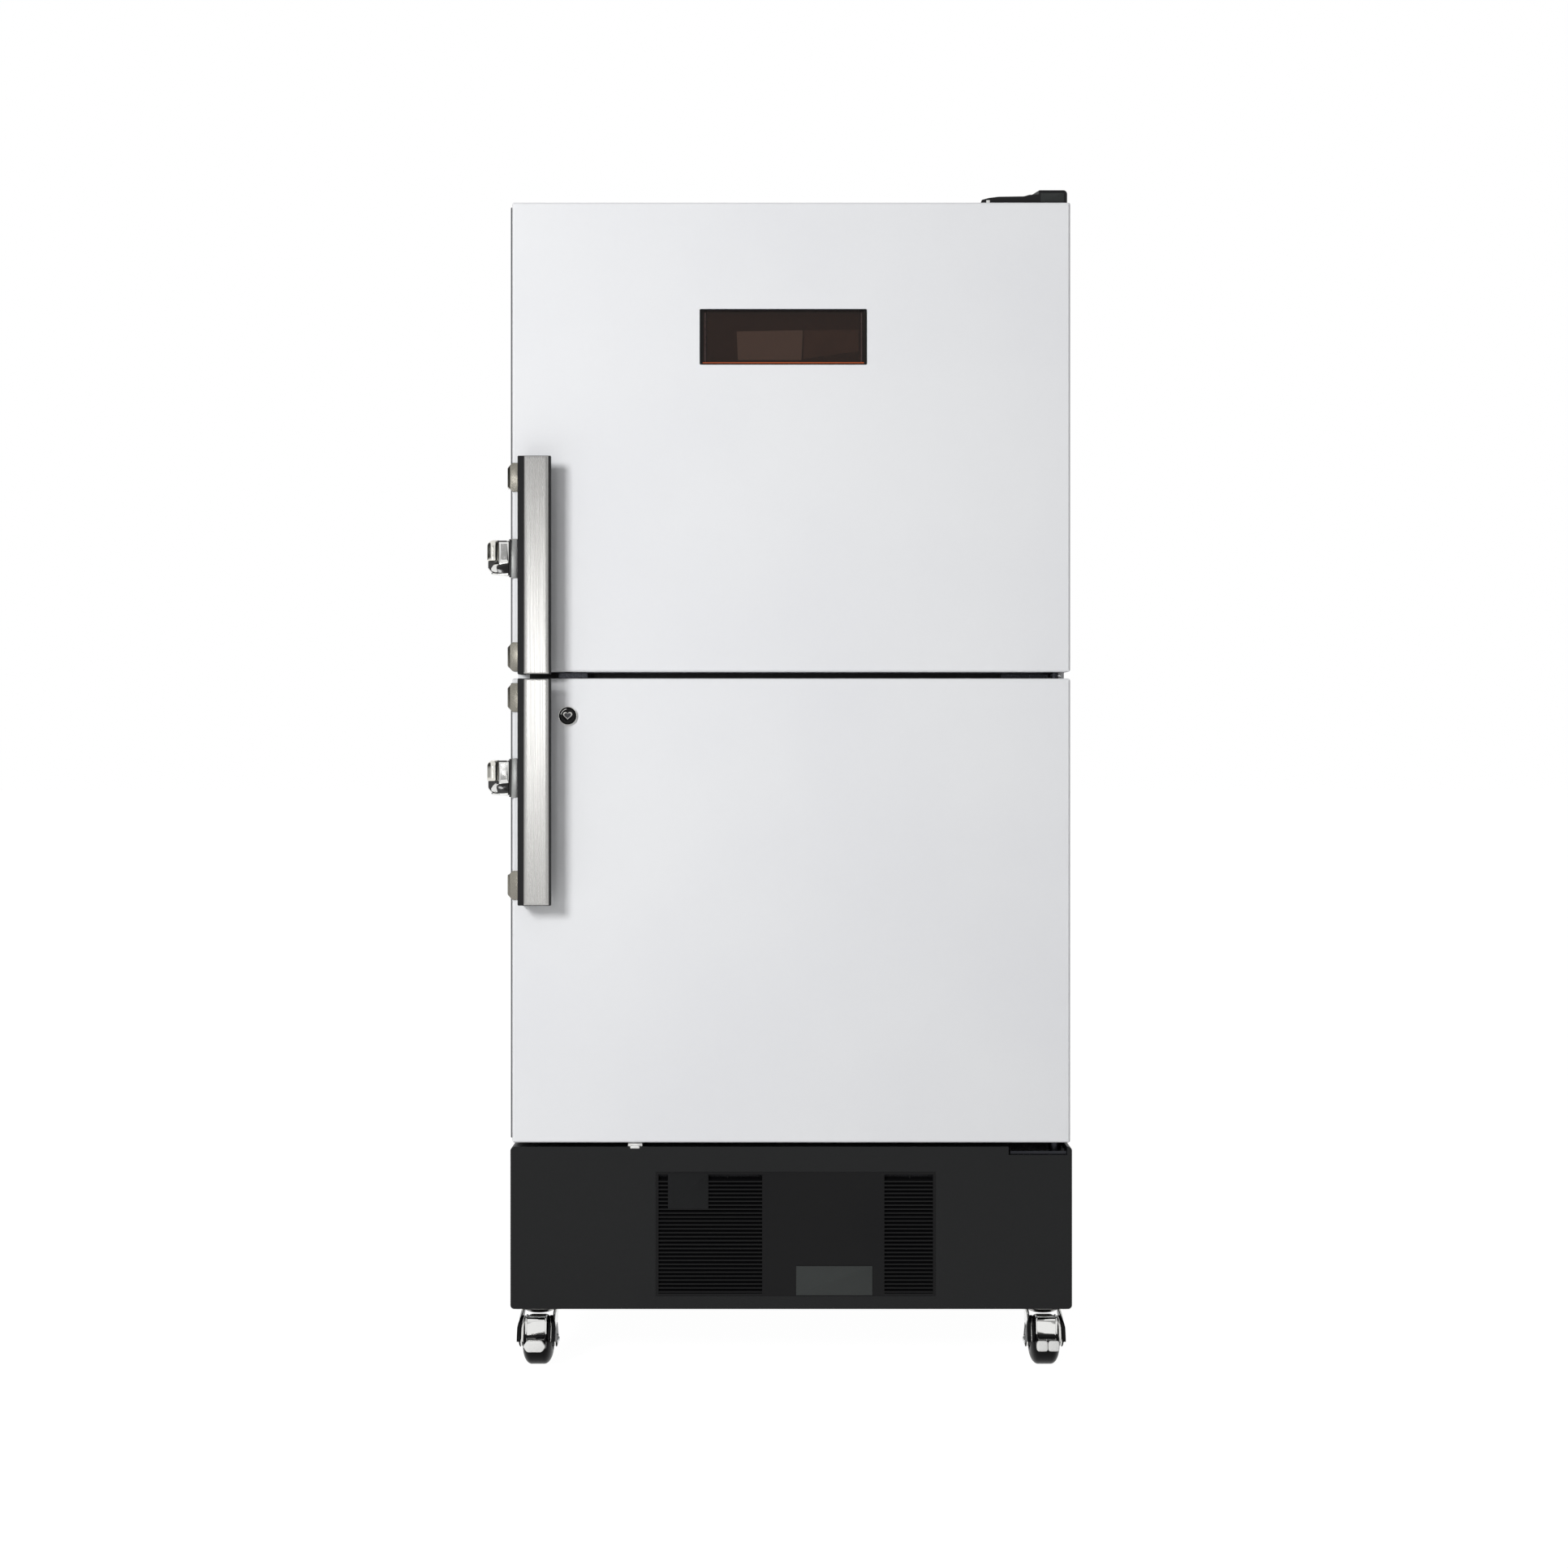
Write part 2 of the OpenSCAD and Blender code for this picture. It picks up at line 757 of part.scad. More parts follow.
// The lever: a cast body with an upright ridge at its outer edge, a flat face beside it, a finger scoop
// below and a rolled lip at the foot, and an arm that ends in the hook
module lever_outline(z, h) {
    corner = 11;
    step = 1.6;
    step_z = z - 5.5;
    polygon(concat(
        arc([lever_x0 + corner, z + h - corner], corner, 90, 180, 8),
        [[lever_x0, step_z + step], [lever_x0 + step, step_z]],
        arc([lever_x0 + step + corner, z - h + corner], corner, 180, 258, 8),
        [[lever_x1 - 4, z - h], [lever_x1, z - h + 2], [lever_x1, z + h]]
    ));
}

module latch_lever(z) {
    h = latch_h / 2;
    back = stud_y + 15;
    ridge_r = 9;
    ridge_x = lever_x0 + ridge_r;
    face_x = ridge_x + ridge_r - 1.5;
    face_z = z - 4.5;
    scoop_r = 9;
    arm_top = stud_up - post_r - 0.3;
    hook_y = post_back + post_r + 0.4;
    difference() {
        union() {
            intersection() {
                translate([0, 0, z]) along_x(lever_x0, lever_x1) polygon([
                    [lever_front, 5 - h], [lever_front + 3, -h], [lever_front + 13, -h], [back - 8, -10],
                    [back, 0], [back, h - 6], [back - 6, h], [lever_front + 5, h], [lever_front, h - 3]
                ]);
                along_y(lever_front - 1, back + 1) lever_outline(z, h);
            }
            // upright ridge, with a round top that meets the outline
            intersection() {
                translate([ridge_x, lever_front + 3, face_z]) cylinder(r = ridge_r, h = z + h - 2.5 - face_z);
                along_y(lever_front - ridge_r, back) lever_outline(z, h);
            }
            translate([0, 0, z]) along_x(arm_x - arm_t / 2, arm_x + arm_t / 2) polygon([
                [back - 14, 14], [back + 12, arm_top], [hook_y, arm_top], [hook_y, arm_top + hook_bite],
                [hook_y + 6, arm_top + hook_bite - 1], [hook_y + 9, arm_top - 5],
                [hook_y + 3, arm_top - 12], [back, arm_top - 12], [back - 14, -6]
            ]);
        }
        // flat face beside the ridge, with a foot that slopes forward
        along_x(face_x, lever_x1 + 1) polygon([
            [lever_front - 1, face_z - 2], [lever_front + 0.5, face_z - 2], [lever_front + 3.5, face_z + 2],
            [lever_front + 3.5, z + h - 4], [lever_front - 1, z + h - 4]
        ]);
        // round finger scoop above the foot's lip
        intersection() {
            bar_x(lever_front, z - h + 7 + scoop_r, scoop_r, lever_x0 + 7, lever_x1 + 1);
            block([lever_x0, lever_front - 10, z - h], [lever_x1 + 2, lever_front + 20, face_z - 3]);
        }
        bar_x(stud_y, z + stud_up, stud_r + turn_play, lever_x0 + 5.5, lever_x1 + 1);
    }
}

module upper_latch_base() {
    color("darkgray") in_place() latch_base(upper_latch_z);
}

module lower_latch_base() {
    color("darkgray") in_place() latch_base(lower_latch_z);
}

module upper_latch_lever() {
    color("silver") in_place() latch_lever(upper_latch_z);
}

module lower_latch_lever() {
    color("silver") in_place() latch_lever(lower_latch_z);
}

// Keepers on the cabinet: one post for each latch, and a lipped plate for the lock's cam
module latch_keeper(z) {
    side = -body_w / 2;
    plate_t = 3;
    head_t = 2.5;
    post_end = arm_x - arm_t / 2 - 4;
    block([side - plate_t, post_back - 16, z + stud_up - 26], [side, post_back + 20, z + stud_up + 26]);
    bar_x(post_back, z + stud_up, post_r, post_end - head_t, side - plate_t);
    bar_x(post_back, z + stud_up, post_r + 2.5, post_end - head_t, post_end);
}

module lock_keeper() {
    x0 = lock_x - 16;
    x1 = lock_x + 28;
    lip_y = cam_y - 3.5;
    block([x0, lip_y - keeper_t, keeper_z0], [x1, 0, keeper_z0 + keeper_t]);
    block([x0, lip_y - keeper_t, lower_z1 + 1.5], [x1, lip_y, keeper_z0 + keeper_t]);
    block([x0, -keeper_t, lower_z1 - 14], [x1, 0, keeper_z0 + keeper_t]);
}

module door_keepers() {
    color("silver") in_place() {
        latch_keeper(upper_latch_z);
        latch_keeper(lower_latch_z);
        lock_keeper();
    }
}

// Hinges

module hinge_arm(x_half, y_back) {
    translate([pivot_x, pivot_y]) circle(x_half);
    translate([pivot_x - x_half, pivot_y]) square([2 * x_half, y_back - pivot_y]);
}

module top_hinge_bracket() {
    plate_y = 4;
    color("gray") in_place() {
        along_z(cabinet_z1, cabinet_z1 + hinge_plate_t) {
            hinge_arm(arm_r, plate_y + 5);
            translate([pivot_x + arm_r - top_plate_w, plate_y]) square([top_plate_w, top_plate_d]);
        }
        translate([pivot_x, pivot_y, upper_z1 - pin_reach])
            cylinder(r = pin_r, h = pin_reach + top_gap + hinge_plate_t);
    }
}

module middle_hinge_bracket() {
    plate_z = divider_z - hinge_plate_t / 2;
    foot_t = 3;
    foot_half_h = 20;
    color("gray") in_place() {
        along_z(plate_z, plate_z + hinge_plate_t) {
            hinge_arm(arm_r, 0);
            translate([pivot_x + arm_r - mid_foot_w, -20]) square([mid_foot_w, 20]);
        }
        block([pivot_x + arm_r - mid_foot_w, -foot_t, divider_z - foot_half_h],
            [pivot_x + arm_r, 0, divider_z + foot_half_h]);
        translate([pivot_x, pivot_y, lower_z1 - pin_reach])
            cylinder(r = pin_r, h = 2 * pin_reach + door_gap);
    }
}

recess_x1 = body_w / 2 - 5;
recess_x0 = recess_x1 - recess_w;
recess_z = deck_z - recess_h;
recess_back = -6;

module lower_hinge_bracket() {
    color("gray") in_place() {
        block([recess_x0 + 3, door_front + 6, recess_z], [recess_x1 - 0.5, recess_back, recess_z + hinge_plate_t]);
        translate([pivot_x, pivot_y, recess_z])
            cylinder(r = arm_r, h = recess_h + base_gap - 1);
        translate([pivot_x, pivot_y, recess_z])
            cylinder(r = pin_r, h = recess_h + base_gap + pin_reach);
    }
}

// The hinge cover's outline from above, shrunk by a wall
module cover_outline(e) {
    right = body_w / 2 - 2;
    nose_x = right - cover_nose_w;
    nose_y = pivot_y - arm_r - cover_clear - cover_wall;
    step_y = 2;
    polygon([
        [right - cover_w + e, step_y + e], [nose_x - 17 + e, step_y + e], [nose_x + e, nose_y + e],
        [right - e, nose_y + e], [right - e, step_y + cover_d - e], [right - cover_w + e, step_y + cover_d - e]
    ]);
}

// The same cover from the front: a long slope on the left and a round corner on the right
module cover_profile(e) {
    right = body_w / 2 - 2 - e;
    left = body_w / 2 - 2 - cover_w + e;
    top = cabinet_z1 + cover_h - e;
    slope = 33;
    corner = 6 - e;
    low = 4;
    polygon(concat(
        [[left, cabinet_z1 - e], [right, cabinet_z1 - e]],
        arc([right - corner, top - corner], corner, 0, 90, 6),
        [[left + slope, top], [left, cabinet_z1 + low - e]]
    ));
}

module hinge_cover() {
    color("black") in_place() difference() {
        intersection() {
            along_z(cabinet_z1, cabinet_z1 + cover_h) cover_outline(0);
            along_y(-body_d, body_d) cover_profile(0);
        }
        intersection() {
            along_z(cabinet_z1 - 1, cabinet_z1 + cover_h) cover_outline(cover_wall);
            along_y(-body_d, body_d) cover_profile(cover_wall);
        }
    }
}

// Machine base

base_y1 = -45;
pan_y1 = body_d - 4;
floor_z = caster_h + base_t;

module base_section(e, y0, y1) {
    along_y(y0, y1)
        rounded_rect([-base_w / 2 + e, caster_h + e], [base_w / 2 - e, deck_z - e], base_r - e);
}

module recess_tray(grow) {
    block([recess_x0 - grow, door_front - 1, recess_z - grow],
        [recess_x1 + grow, recess_back + grow, deck_z + 1]);
}

grille_x0 = grille_offset - grille_w / 2;
grille_z0 = caster_h + grille_up;

module grille_block(grow, y0, y1) {
    block([grille_x0 - grow, y0, grille_z0 - grow],
        [grille_x0 + grille_w + grow, y1, grille_z0 + grille_h + grow]);
}

module base_front() {
    color([0.15, 0.15, 0.16]) in_place() difference() {
        union() {
            difference() {
                base_section(0, door_front, base_y1);
                base_section(base_t, door_front + base_t, base_y1 + 1);
            }
            intersection() {
                recess_tray(base_t);
                block([-base_w / 2, door_front, caster_h], [base_w / 2, 0, deck_z]);
            }
        }
        recess_tray(0);
        grille_block(play, door_front - 1, door_front + base_t + 1);
    }
}

module base_pan() {
    flange = 30;
    color([0.3, 0.3, 0.32]) in_place() difference() {
        base_section(0, base_y1, pan_y1);
        base_section(base_t, base_y1 - 1, pan_y1 + 1);
        block([-base_w / 2 + flange, flange, deck_z - base_t - 1],
            [base_w / 2 - flange, pan_y1 - flange, deck_z + 1]);
        recess_tray(base_t + 0.3);
    }
}

module louvre_grille() {
    border = 4;
    flange = 8;
    lean = 4.5;
    y0 = door_front;
    y1 = door_front + grille_d;
    x1 = grille_x0 + grille_w;
    z1 = grille_z0 + grille_h;
    color([0.1, 0.1, 0.1]) in_place() {
        difference() {
            grille_block(0, y0, y1);
            block([grille_x0 + border, y0 - 1, grille_z0 + border],
                [grille_x0 + louvre_left_w, y1 + 1, z1 - border]);
            block([x1 - louvre_right_w, y0 - 1, grille_z0 + border], [x1 - border, y1 + 1, z1 - border]);
            block([grille_x0 + louvre_left_w + 4, y0 + 3, grille_z0 + border],
                [x1 - louvre_right_w - 4, y1 + 1, z1 - border]);
        }
        difference() {
            grille_block(flange, y0 + base_t, y0 + base_t + 2);
            grille_block(-1, y0, y1);
        }
        for (bank = [[grille_x0 + 1, grille_x0 + louvre_left_w + 1], [x1 - louvre_right_w - 1, x1 - 1]]) {
            for (z = [grille_z0 + border + 1 : louvre_pitch : z1 - border - louvre_t - lean - 0.5]) {
                along_x(bank[0], bank[1]) polygon([
                    [y0 + 0.8, z], [y1 - 1, z + lean], [y1 - 1, z + lean + louvre_t], [y0 + 0.8, z + louvre_t]
                ]);
            }
        }
        // upright ribs behind the louvres
        for (x = [grille_x0 + 56, grille_x0 + 108, x1 - 40]) {
            block([x, y1 - 3, grille_z0 + 1], [x + 2, y1 - 0.4, z1 - 1]);
        }
    }
}

module air_filter() {
    rim = 8;
    y0 = door_front + grille_d;
    color("dimgray") in_place() {
        difference() {
            grille_block(0, y0, y0 + 9);
            grille_block(-rim, y0 - 1, y0 + 10);
        }
        grille_block(-rim, y0 + 1.5, y0 + 7.5);
    }
}

// Place of the power inlet, from the base's right side and lower edge
inlet_x = base_w / 2 - 87.5;
inlet_z = caster_h + 73.5;

module rear_cover() {
    slot_l = 70;
    slot_h = 5;
    slot_xs = [97.5 - base_w / 2, 192.5 - base_w / 2, inlet_x - 250, inlet_x - 155];
    color([0.25, 0.25, 0.27]) in_place() difference() {
        base_section(0, pan_y1, pan_y1 + base_t);
        for (x = slot_xs, z = [caster_h + 40 : 16 : deck_z - 40]) {
            block([x, pan_y1 - 1, z], [x + slot_l, pan_y1 + base_t + 1, z + slot_h]);
        }
        block([inlet_x - 16, pan_y1 - 1, inlet_z - 11], [inlet_x + 16, pan_y1 + base_t + 1, inlet_z + 11]);
    }
}

module power_inlet() {
    y1 = pan_y1 + base_t;
    color([0.08, 0.08, 0.08]) in_place() {
        difference() {
            union() {
                block([inlet_x - 25, y1, inlet_z - 15], [inlet_x + 25, y1 + 2, inlet_z + 15]);
                block([inlet_x - 15.5, y1 - 30, inlet_z - 10.5], [inlet_x + 15.5, y1 + 1, inlet_z + 10.5]);
            }
            block([inlet_x - 12.5, y1 - 18, inlet_z - 8], [inlet_x + 12.5, y1 + 3, inlet_z + 8]);
        }
        for (p = [[-7, -3], [0, 3], [7, -3]]) {
            block([inlet_x + p[0] - 1, y1 - 19, inlet_z + p[1] - 2.5],
                [inlet_x + p[0] + 1, y1 - 2, inlet_z + p[1] + 2.5]);
        }
    }
}

module electronics_box() {
    box_w = 120;
    box_d = 210;
    box_h = 130;
    box_y0 = 120;
    lo = [base_r - base_w / 2, box_y0, floor_z];
    hi = lo + [box_w, box_d, box_h];
    color("silver") in_place() {
        difference() {
            block(lo, hi);
            block(lo + [3, 3, 3], hi - [-1, 3, 3]);
        }
        // lid with turned edges, and a transformer inside
        difference() {
            block([hi.x, lo.y - 1, lo.z + 1], [hi.x + 2, hi.y + 1, hi.z + 1]);
            for (z = [lo.z + 30 : 14 : hi.z - 20]) {
                block([hi.x - 1, lo.y + 50, z], [hi.x + 3, hi.y - 50, z + 5]);
            }
        }
        block([lo.x + 30, lo.y + 30, lo.z + 3], [lo.x + 90, lo.y + 100, lo.z + 60]);
    }
}

// Heat exchanger: upright fins on tubes that run across, with round bends at both ends
module fin_block(lo, hi, fin_pitch, rows, tube_r) {
    row_step = (hi.z - lo.z) / rows;
    tube_y = (lo.y + hi.y) / 2;
    stub = 4;
    for (x = [lo.x : fin_pitch : hi.x - 1]) {
        block([x, lo.y, lo.z], [x + 1.2, hi.y, hi.z]);
    }
    for (i = [0:rows - 1]) {
        bar_x(tube_y, lo.z + row_step * (i + 0.5), tube_r, lo.x - stub, hi.x + stub);
    }
    for (i = [0:rows - 2]) {
        right = i % 2 == 0;
        translate([right ? hi.x + stub : lo.x - stub, tube_y, lo.z + row_step * (i + 1)])
            rotate([90, 0, 0]) rotate([0, 0, right ? -90 : 90])
            rotate_extrude(angle = 180) translate([row_step / 2, 0]) circle(tube_r);
    }
}

condenser_h = 200;
fan_x = grille_offset;
fan_z = floor_z + condenser_h / 2;
fan_y = 22;

module crossed_arms(r, w, y0, y1) {
    for (turn = [45, 135]) {
        translate([0, y1, 0]) rotate([90, turn, 0]) translate([-r, -w / 2, 0]) cube([2 * r, w, y1 - y0]);
    }
}

module condenser_unit() {
    shroud_y0 = -16;
    shroud_y1 = 38;
    half_w = 190;
    z1 = floor_z + condenser_h;
    color("silver") in_place() {
        translate([fan_x, shroud_y0 - 0.3, floor_z])
            fin_block([-half_w, -44, 0], [half_w, 0, condenser_h], 12, 5, 4.8);
        difference() {
            block([fan_x - half_w, shroud_y0, floor_z], [fan_x + half_w, shroud_y1, z1]);
            block([fan_x - half_w + 2, shroud_y0 - 1, floor_z + 2],
                [fan_x + half_w - 2, shroud_y1 - 2, z1 - 2]);
            bar_y(fan_x, fan_z, cond_fan_r + 4, shroud_y0, shroud_y1 + 1);
        }
        // motor, held by two crossed arms, with its shaft toward the fan
        translate([fan_x, 0, fan_z]) crossed_arms(cond_fan_r + 18, 10, shroud_y1 - 1, shroud_y1 + 4);
        bar_y(fan_x, fan_z, 30, shroud_y1 + 3, shroud_y1 + 44);
        bar_y(fan_x, fan_z, 3, fan_y - 8, shroud_y1 + 5);
    }
}

// A fan about the y axis: a hub and pitched blades inside a circle
module fan_wheel(r, hub_r, depth, blades, pitch) {
    difference() {
        union() {
            bar_y(0, 0, hub_r, -depth / 2 - 2, depth / 2 + 2);
            intersection() {
                bar_y(0, 0, r, -depth / 2, depth / 2);
                for (i = [0:blades - 1]) {
                    rotate([0, i * 360 / blades, 0]) rotate([0, 0, pitch])
                        translate([-1, -depth, hub_r - 3]) cube([2, 2 * depth, r]);
                }
            }
        }
        bar_y(0, 0, 3 + turn_play, -depth, depth);
    }
}

module condenser_fan() {
    color([0.2, 0.2, 0.2]) in_place() translate([fan_x, fan_y, fan_z])
        fan_wheel(cond_fan_r, 20, 18, 5, 30);
}

// Two hermetic compressors on rubber feet, side by side in front of the rear cover
compressor_x = 140;
compressor_y = pan_y1 - 241;

module compressor(x, y) {
    foot_h = 12;
    can_r = 70;
    can_h = 165;
    edge = 28;
    z0 = floor_z + foot_h;
    for (dx = [-90, 90], dy = [-60, 60]) {
        translate([x + dx, y + dy, floor_z]) cylinder(r = 12, h = foot_h);
    }
    difference() {
        block([x - 104, y - 74, z0], [x + 104, y + 74, z0 + 3]);
        for (dx = [-90, 90], dy = [-60, 60]) {
            translate([x + dx, y + dy, z0 - 1]) cylinder(r = 5, h = 5);
        }
    }
    translate([x, y, z0 + 3]) {
        rotate_extrude() polygon(concat(
            [[0, 0], [can_r - 12, 0], [can_r, 14]],
            arc([can_r - edge, can_h - edge], edge, 0, 90, 8),
            [[0, can_h]]
        ));
        translate([0, 0, 74]) cylinder(r = can_r + 3, h = 10);
        translate([-can_r + 2, 0, 50]) rotate([0, -90, 0]) cylinder(r = 5, h = 24);
        translate([0, -can_r + 2, 40]) rotate([90, 0, 0]) cylinder(r = 4, h = 20);
        translate([can_r - 4, -22, 40]) cube([22, 44, 50]);
    }
}

module compressors() {
    color([0.12, 0.12, 0.13]) in_place() {
        compressor(-compressor_x, compressor_y);
        compressor(compressor_x, compressor_y);
    }
}

// Casters

axle_z = wheel_d / 2;
head_t = 5.2;
race_h = 3.5;
plate_z = caster_h - 2.5;
race_z = plate_z - race_h;
head_z = race_z - head_t - 0.3;
kingpin_z = head_z - 4;
fender_r = wheel_d / 2 + 2.5;
fender_t = 2.5;
fender_start = 17;
leg_x = wheel_w / 2 + 1.3;
pedal_r = 5;
lever_r = fender_r + fender_t + pedal_r + 0.5;
lever_y = -caster_trail - lever_r * cos(fender_start);
lever_z = axle_z + lever_r * sin(fender_start);
front_kingpin_y = door_front + caster_inset;
rear_kingpin_y = body_d - caster_inset;

module at_caster(side, y) {
    in_place() translate([side * caster_x, y, 0]) children();
}

module caster_plate() {
    half = 38;
    screw = 31;
    difference() {
        translate([-half, -half, plate_z]) cube([2 * half, 2 * half, caster_h - plate_z]);
        for (x = [-screw, screw], y = [-screw, screw]) {
            translate([x, y, plate_z - 1]) cylinder(r = 3.2, h = 4);
        }
    }
    for (x = [-screw, screw], y = [-screw, screw]) {
        translate([x, y, plate_z - 3]) cylinder(r = 5.5, h = 3);
        translate([x, y, plate_z - 1]) cylinder(r = 3, h = caster_h - plate_z + 1);
    }
    translate([0, 0, race_z]) cylinder(r = 30, h = race_h);
    translate([0, 0, kingpin_z]) cylinder(r = 6, h = plate_z - kingpin_z);
    translate([0, 0, kingpin_z]) cylinder(r = 9, h = head_z - 0.3 - kingpin_z, $fn = 6);
}

module caster_plates() {
    color("silver") {
        for (side = [-1, 1], y = [front_kingpin_y, rear_kingpin_y]) {
            at_caster(side, y) caster_plate();
        }
    }
}

// The fork about its swivel axis, with the axle toward the front; a braked one carries the pedal's pin
module caster_fork(braked) {
    difference() {
        union() {
            translate([0, 0, head_z]) rotate_extrude() polygon(concat(
                [[0, 0], [24.5, 0]], arc([24.5, head_t], head_t, -90, 0, 6), [[0, head_t]]
            ));
            for (side = [-1, 1]) {
                x0 = side > 0 ? leg_x : -leg_x - fork_t;
                along_x(x0, x0 + fork_t) {
                    polygon(concat(
                        arc([-caster_trail, axle_z], fender_r + fender_t, 180 - fender_start, 90, 10),
                        [[-caster_trail, head_z + head_t], [12, head_z + head_t],
                            [-caster_trail + 11, axle_z], [-caster_trail - 11, axle_z]]
                    ));
                    translate([-caster_trail, axle_z]) circle(11);
                }
            }
            along_x(-leg_x - 0.5, leg_x + 0.5) polygon(concat(
                arc([-caster_trail, axle_z], fender_r + fender_t, 180 - fender_start, 84, 12),
                arc([-caster_trail, axle_z], fender_r, 84, 180 - fender_start, 12)
            ));
            if (braked) {
                for (x = [-21, 18.3]) {
                    along_x(x, x + 2.7) {
                        translate([lever_y, lever_z]) circle(5.5);
                        polygon([
                            [lever_y, lever_z - 5.5], [lever_y + 7.5, lever_z - 2.5],
                            [lever_y + 9, lever_z + 12], [lever_y - 4.5, lever_z + 3.5]
                        ]);
                    }
                }
                bar_x(lever_y, lever_z, 2.5, -21, 21);
            }
        }
        translate([0, 0, head_z - 5]) cylinder(r = 6 + turn_play, h = 20);
    }
    bar_x(-caster_trail, axle_z, axle_r, -leg_x - fork_t - 3, leg_x + fork_t + 3);
    for (x = [-leg_x - fork_t - 3.5, leg_x + fork_t]) {
        bar_x(-caster_trail, axle_z, 7.5, x, x + 3.5);
    }
}

module caster_wheel() {
    half_hub = wheel_w / 2 + 0.8;
    tread = 9.5;
    crown = 24;
    steps = 10;
    grow = wheel_w / 2 - tread;
    r = wheel_d / 2;
    side = [for (i = [0:steps]) let (h = crown * (1 - cos(90 * i / steps)))
        [r - h, tread + grow * sqrt(1 - pow((crown - h) / crown, 2))]];
    translate([0, -caster_trail, axle_z]) rotate([0, 90, 0]) difference() {
        union() {
            rotate_extrude() polygon(concat(
                [[0, wheel_w / 2], [0, -wheel_w / 2]],
                [for (i = [steps:-1:0]) [side[i][0], -side[i][1]]],
                side
            ));
            translate([0, 0, -half_hub]) cylinder(r = 9, h = 2 * half_hub);
        }
        translate([0, 0, -half_hub - 1]) cylinder(r = axle_r + turn_play, h = 2 * half_hub + 2);
    }
}

module brake_pedal() {
    half_w = 17.5;
    corner = 5;
    difference() {
        union() {
            bar_x(lever_y, lever_z, pedal_r, -half_w, half_w);
            intersection() {
                along_x(-half_w, half_w) polygon([
                    [lever_y - 1, lever_z + 4.8], [lever_y + 3, lever_z - 4],
                    [lever_y - 15, lever_z - 21], [lever_y - 20, lever_z - 23], [lever_y - 22, lever_z - 21],
                    [lever_y - 22, lever_z - 9], [lever_y - 19, lever_z - 7]
                ]);
                along_y(lever_y - 30, lever_y + 10) polygon([
                    [-half_w, lever_z - 16], [-half_w + corner, lever_z - 24],
                    [half_w - corner, lever_z - 24], [half_w, lever_z - 16],
                    [half_w, lever_z + 9], [-half_w, lever_z + 9]
                ]);
            }
        }
        bar_x(lever_y, lever_z, 2.5 + turn_play, -half_w - 1, half_w + 1);
    }
}

module front_left_fork() {
    color("silver") at_caster(-1, front_kingpin_y) caster_fork(true);
}

module front_right_fork() {
    color("silver") at_caster(1, front_kingpin_y) caster_fork(true);
}

module rear_left_fork() {
    color("silver") at_caster(-1, rear_kingpin_y) caster_fork(false);
}

module rear_right_fork() {
    color("silver") at_caster(1, rear_kingpin_y) caster_fork(false);
}

module front_left_wheel() {
    color("black") at_caster(-1, front_kingpin_y) caster_wheel();
}

module front_right_wheel() {
    color("black") at_caster(1, front_kingpin_y) caster_wheel();
}

module rear_left_wheel() {
    color("black") at_caster(-1, rear_kingpin_y) caster_wheel();
}

module rear_right_wheel() {
    color("black") at_caster(1, rear_kingpin_y) caster_wheel();
}

module left_brake_pedal() {
    color("lightgray") at_caster(-1, front_kingpin_y) brake_pedal();
}

module right_brake_pedal() {
    color("lightgray") at_caster(1, front_kingpin_y) brake_pedal();
}

// Inside the compartments

rail_t = 8;
rail_w = 20;
rail_ys = [70, 470];
shelf_x = room_w / 2 - rail_t - shelf_rod_r - 4;
shelf_y0 = 34;
duct_y0 = room_d - duct_d;

// Height of a shelf: the compartment is shared out evenly
function shelf_z(heights, count, i) =
    heights[0] + (heights[1] - heights[0]) * (i + 1) / (count + 1) - 20;

module wire_shelf(z, y1) {
    cross_r = shelf_rod_r - 0.5;
    for (x = [-shelf_x, shelf_x]) {
        bar_y(x, z, shelf_rod_r, shelf_y0, y1);
    }
    for (y = [shelf_y0 + 5, (shelf_y0 + y1) / 2, y1 - 5]) {
        bar_x(y, z, cross_r, -shelf_x, shelf_x);
    }
    for (x = [-shelf_x + shelf_pitch / 2 : shelf_pitch : shelf_x - 5]) {
        bar_y(x, z + cross_r + shelf_wire_r / 2, shelf_wire_r, shelf_y0, y1);
    }
}

module wire_shelves() {
    color("whitesmoke") in_place() {
        for (i = [0:upper_shelves - 1]) {
            wire_shelf(shelf_z(upper_room, upper_shelves, i), duct_y0 - 12);
        }
        for (i = [0:lower_shelves - 1]) {
            wire_shelf(shelf_z(lower_room, lower_shelves, i), room_d - 14);
        }
    }
}

module rail_set(heights, shelf_count) {
    margin = 24;
    slot_pitch = 50;
    for (side = [-1, 1], y = rail_ys) {
        x0 = side > 0 ? room_w / 2 - rail_t : -room_w / 2;
        difference() {
            block([x0, y - rail_w / 2, heights[0] + margin], [x0 + rail_t, y + rail_w / 2, heights[1] - margin]);
            for (z = [heights[0] + margin + 16 : slot_pitch : heights[1] - margin - 16]) {
                block([x0 + 2 - side * 3, y - 4, z], [x0 + rail_t - 2 - side * 3, y + 4, z + 14]);
            }
        }
        for (i = [0:shelf_count - 1]) {
            z = shelf_z(heights, shelf_count, i) - shelf_rod_r - 0.2;
            clip_x = side * (room_w / 2 - rail_t);
            in_x = side * (room_w / 2 - rail_t - 12);
            block([min(clip_x, in_x), y - 8, z - 3], [max(clip_x, in_x), y + 8, z]);
            block([min(clip_x, clip_x - side * 2.5), y - 8, z - 16], [max(clip_x, clip_x - side * 2.5), y + 8, z]);
        }
    }
}

module shelf_supports() {
    color("silver") in_place() {
        rail_set(upper_room, upper_shelves);
        rail_set(lower_room, lower_shelves);
    }
}

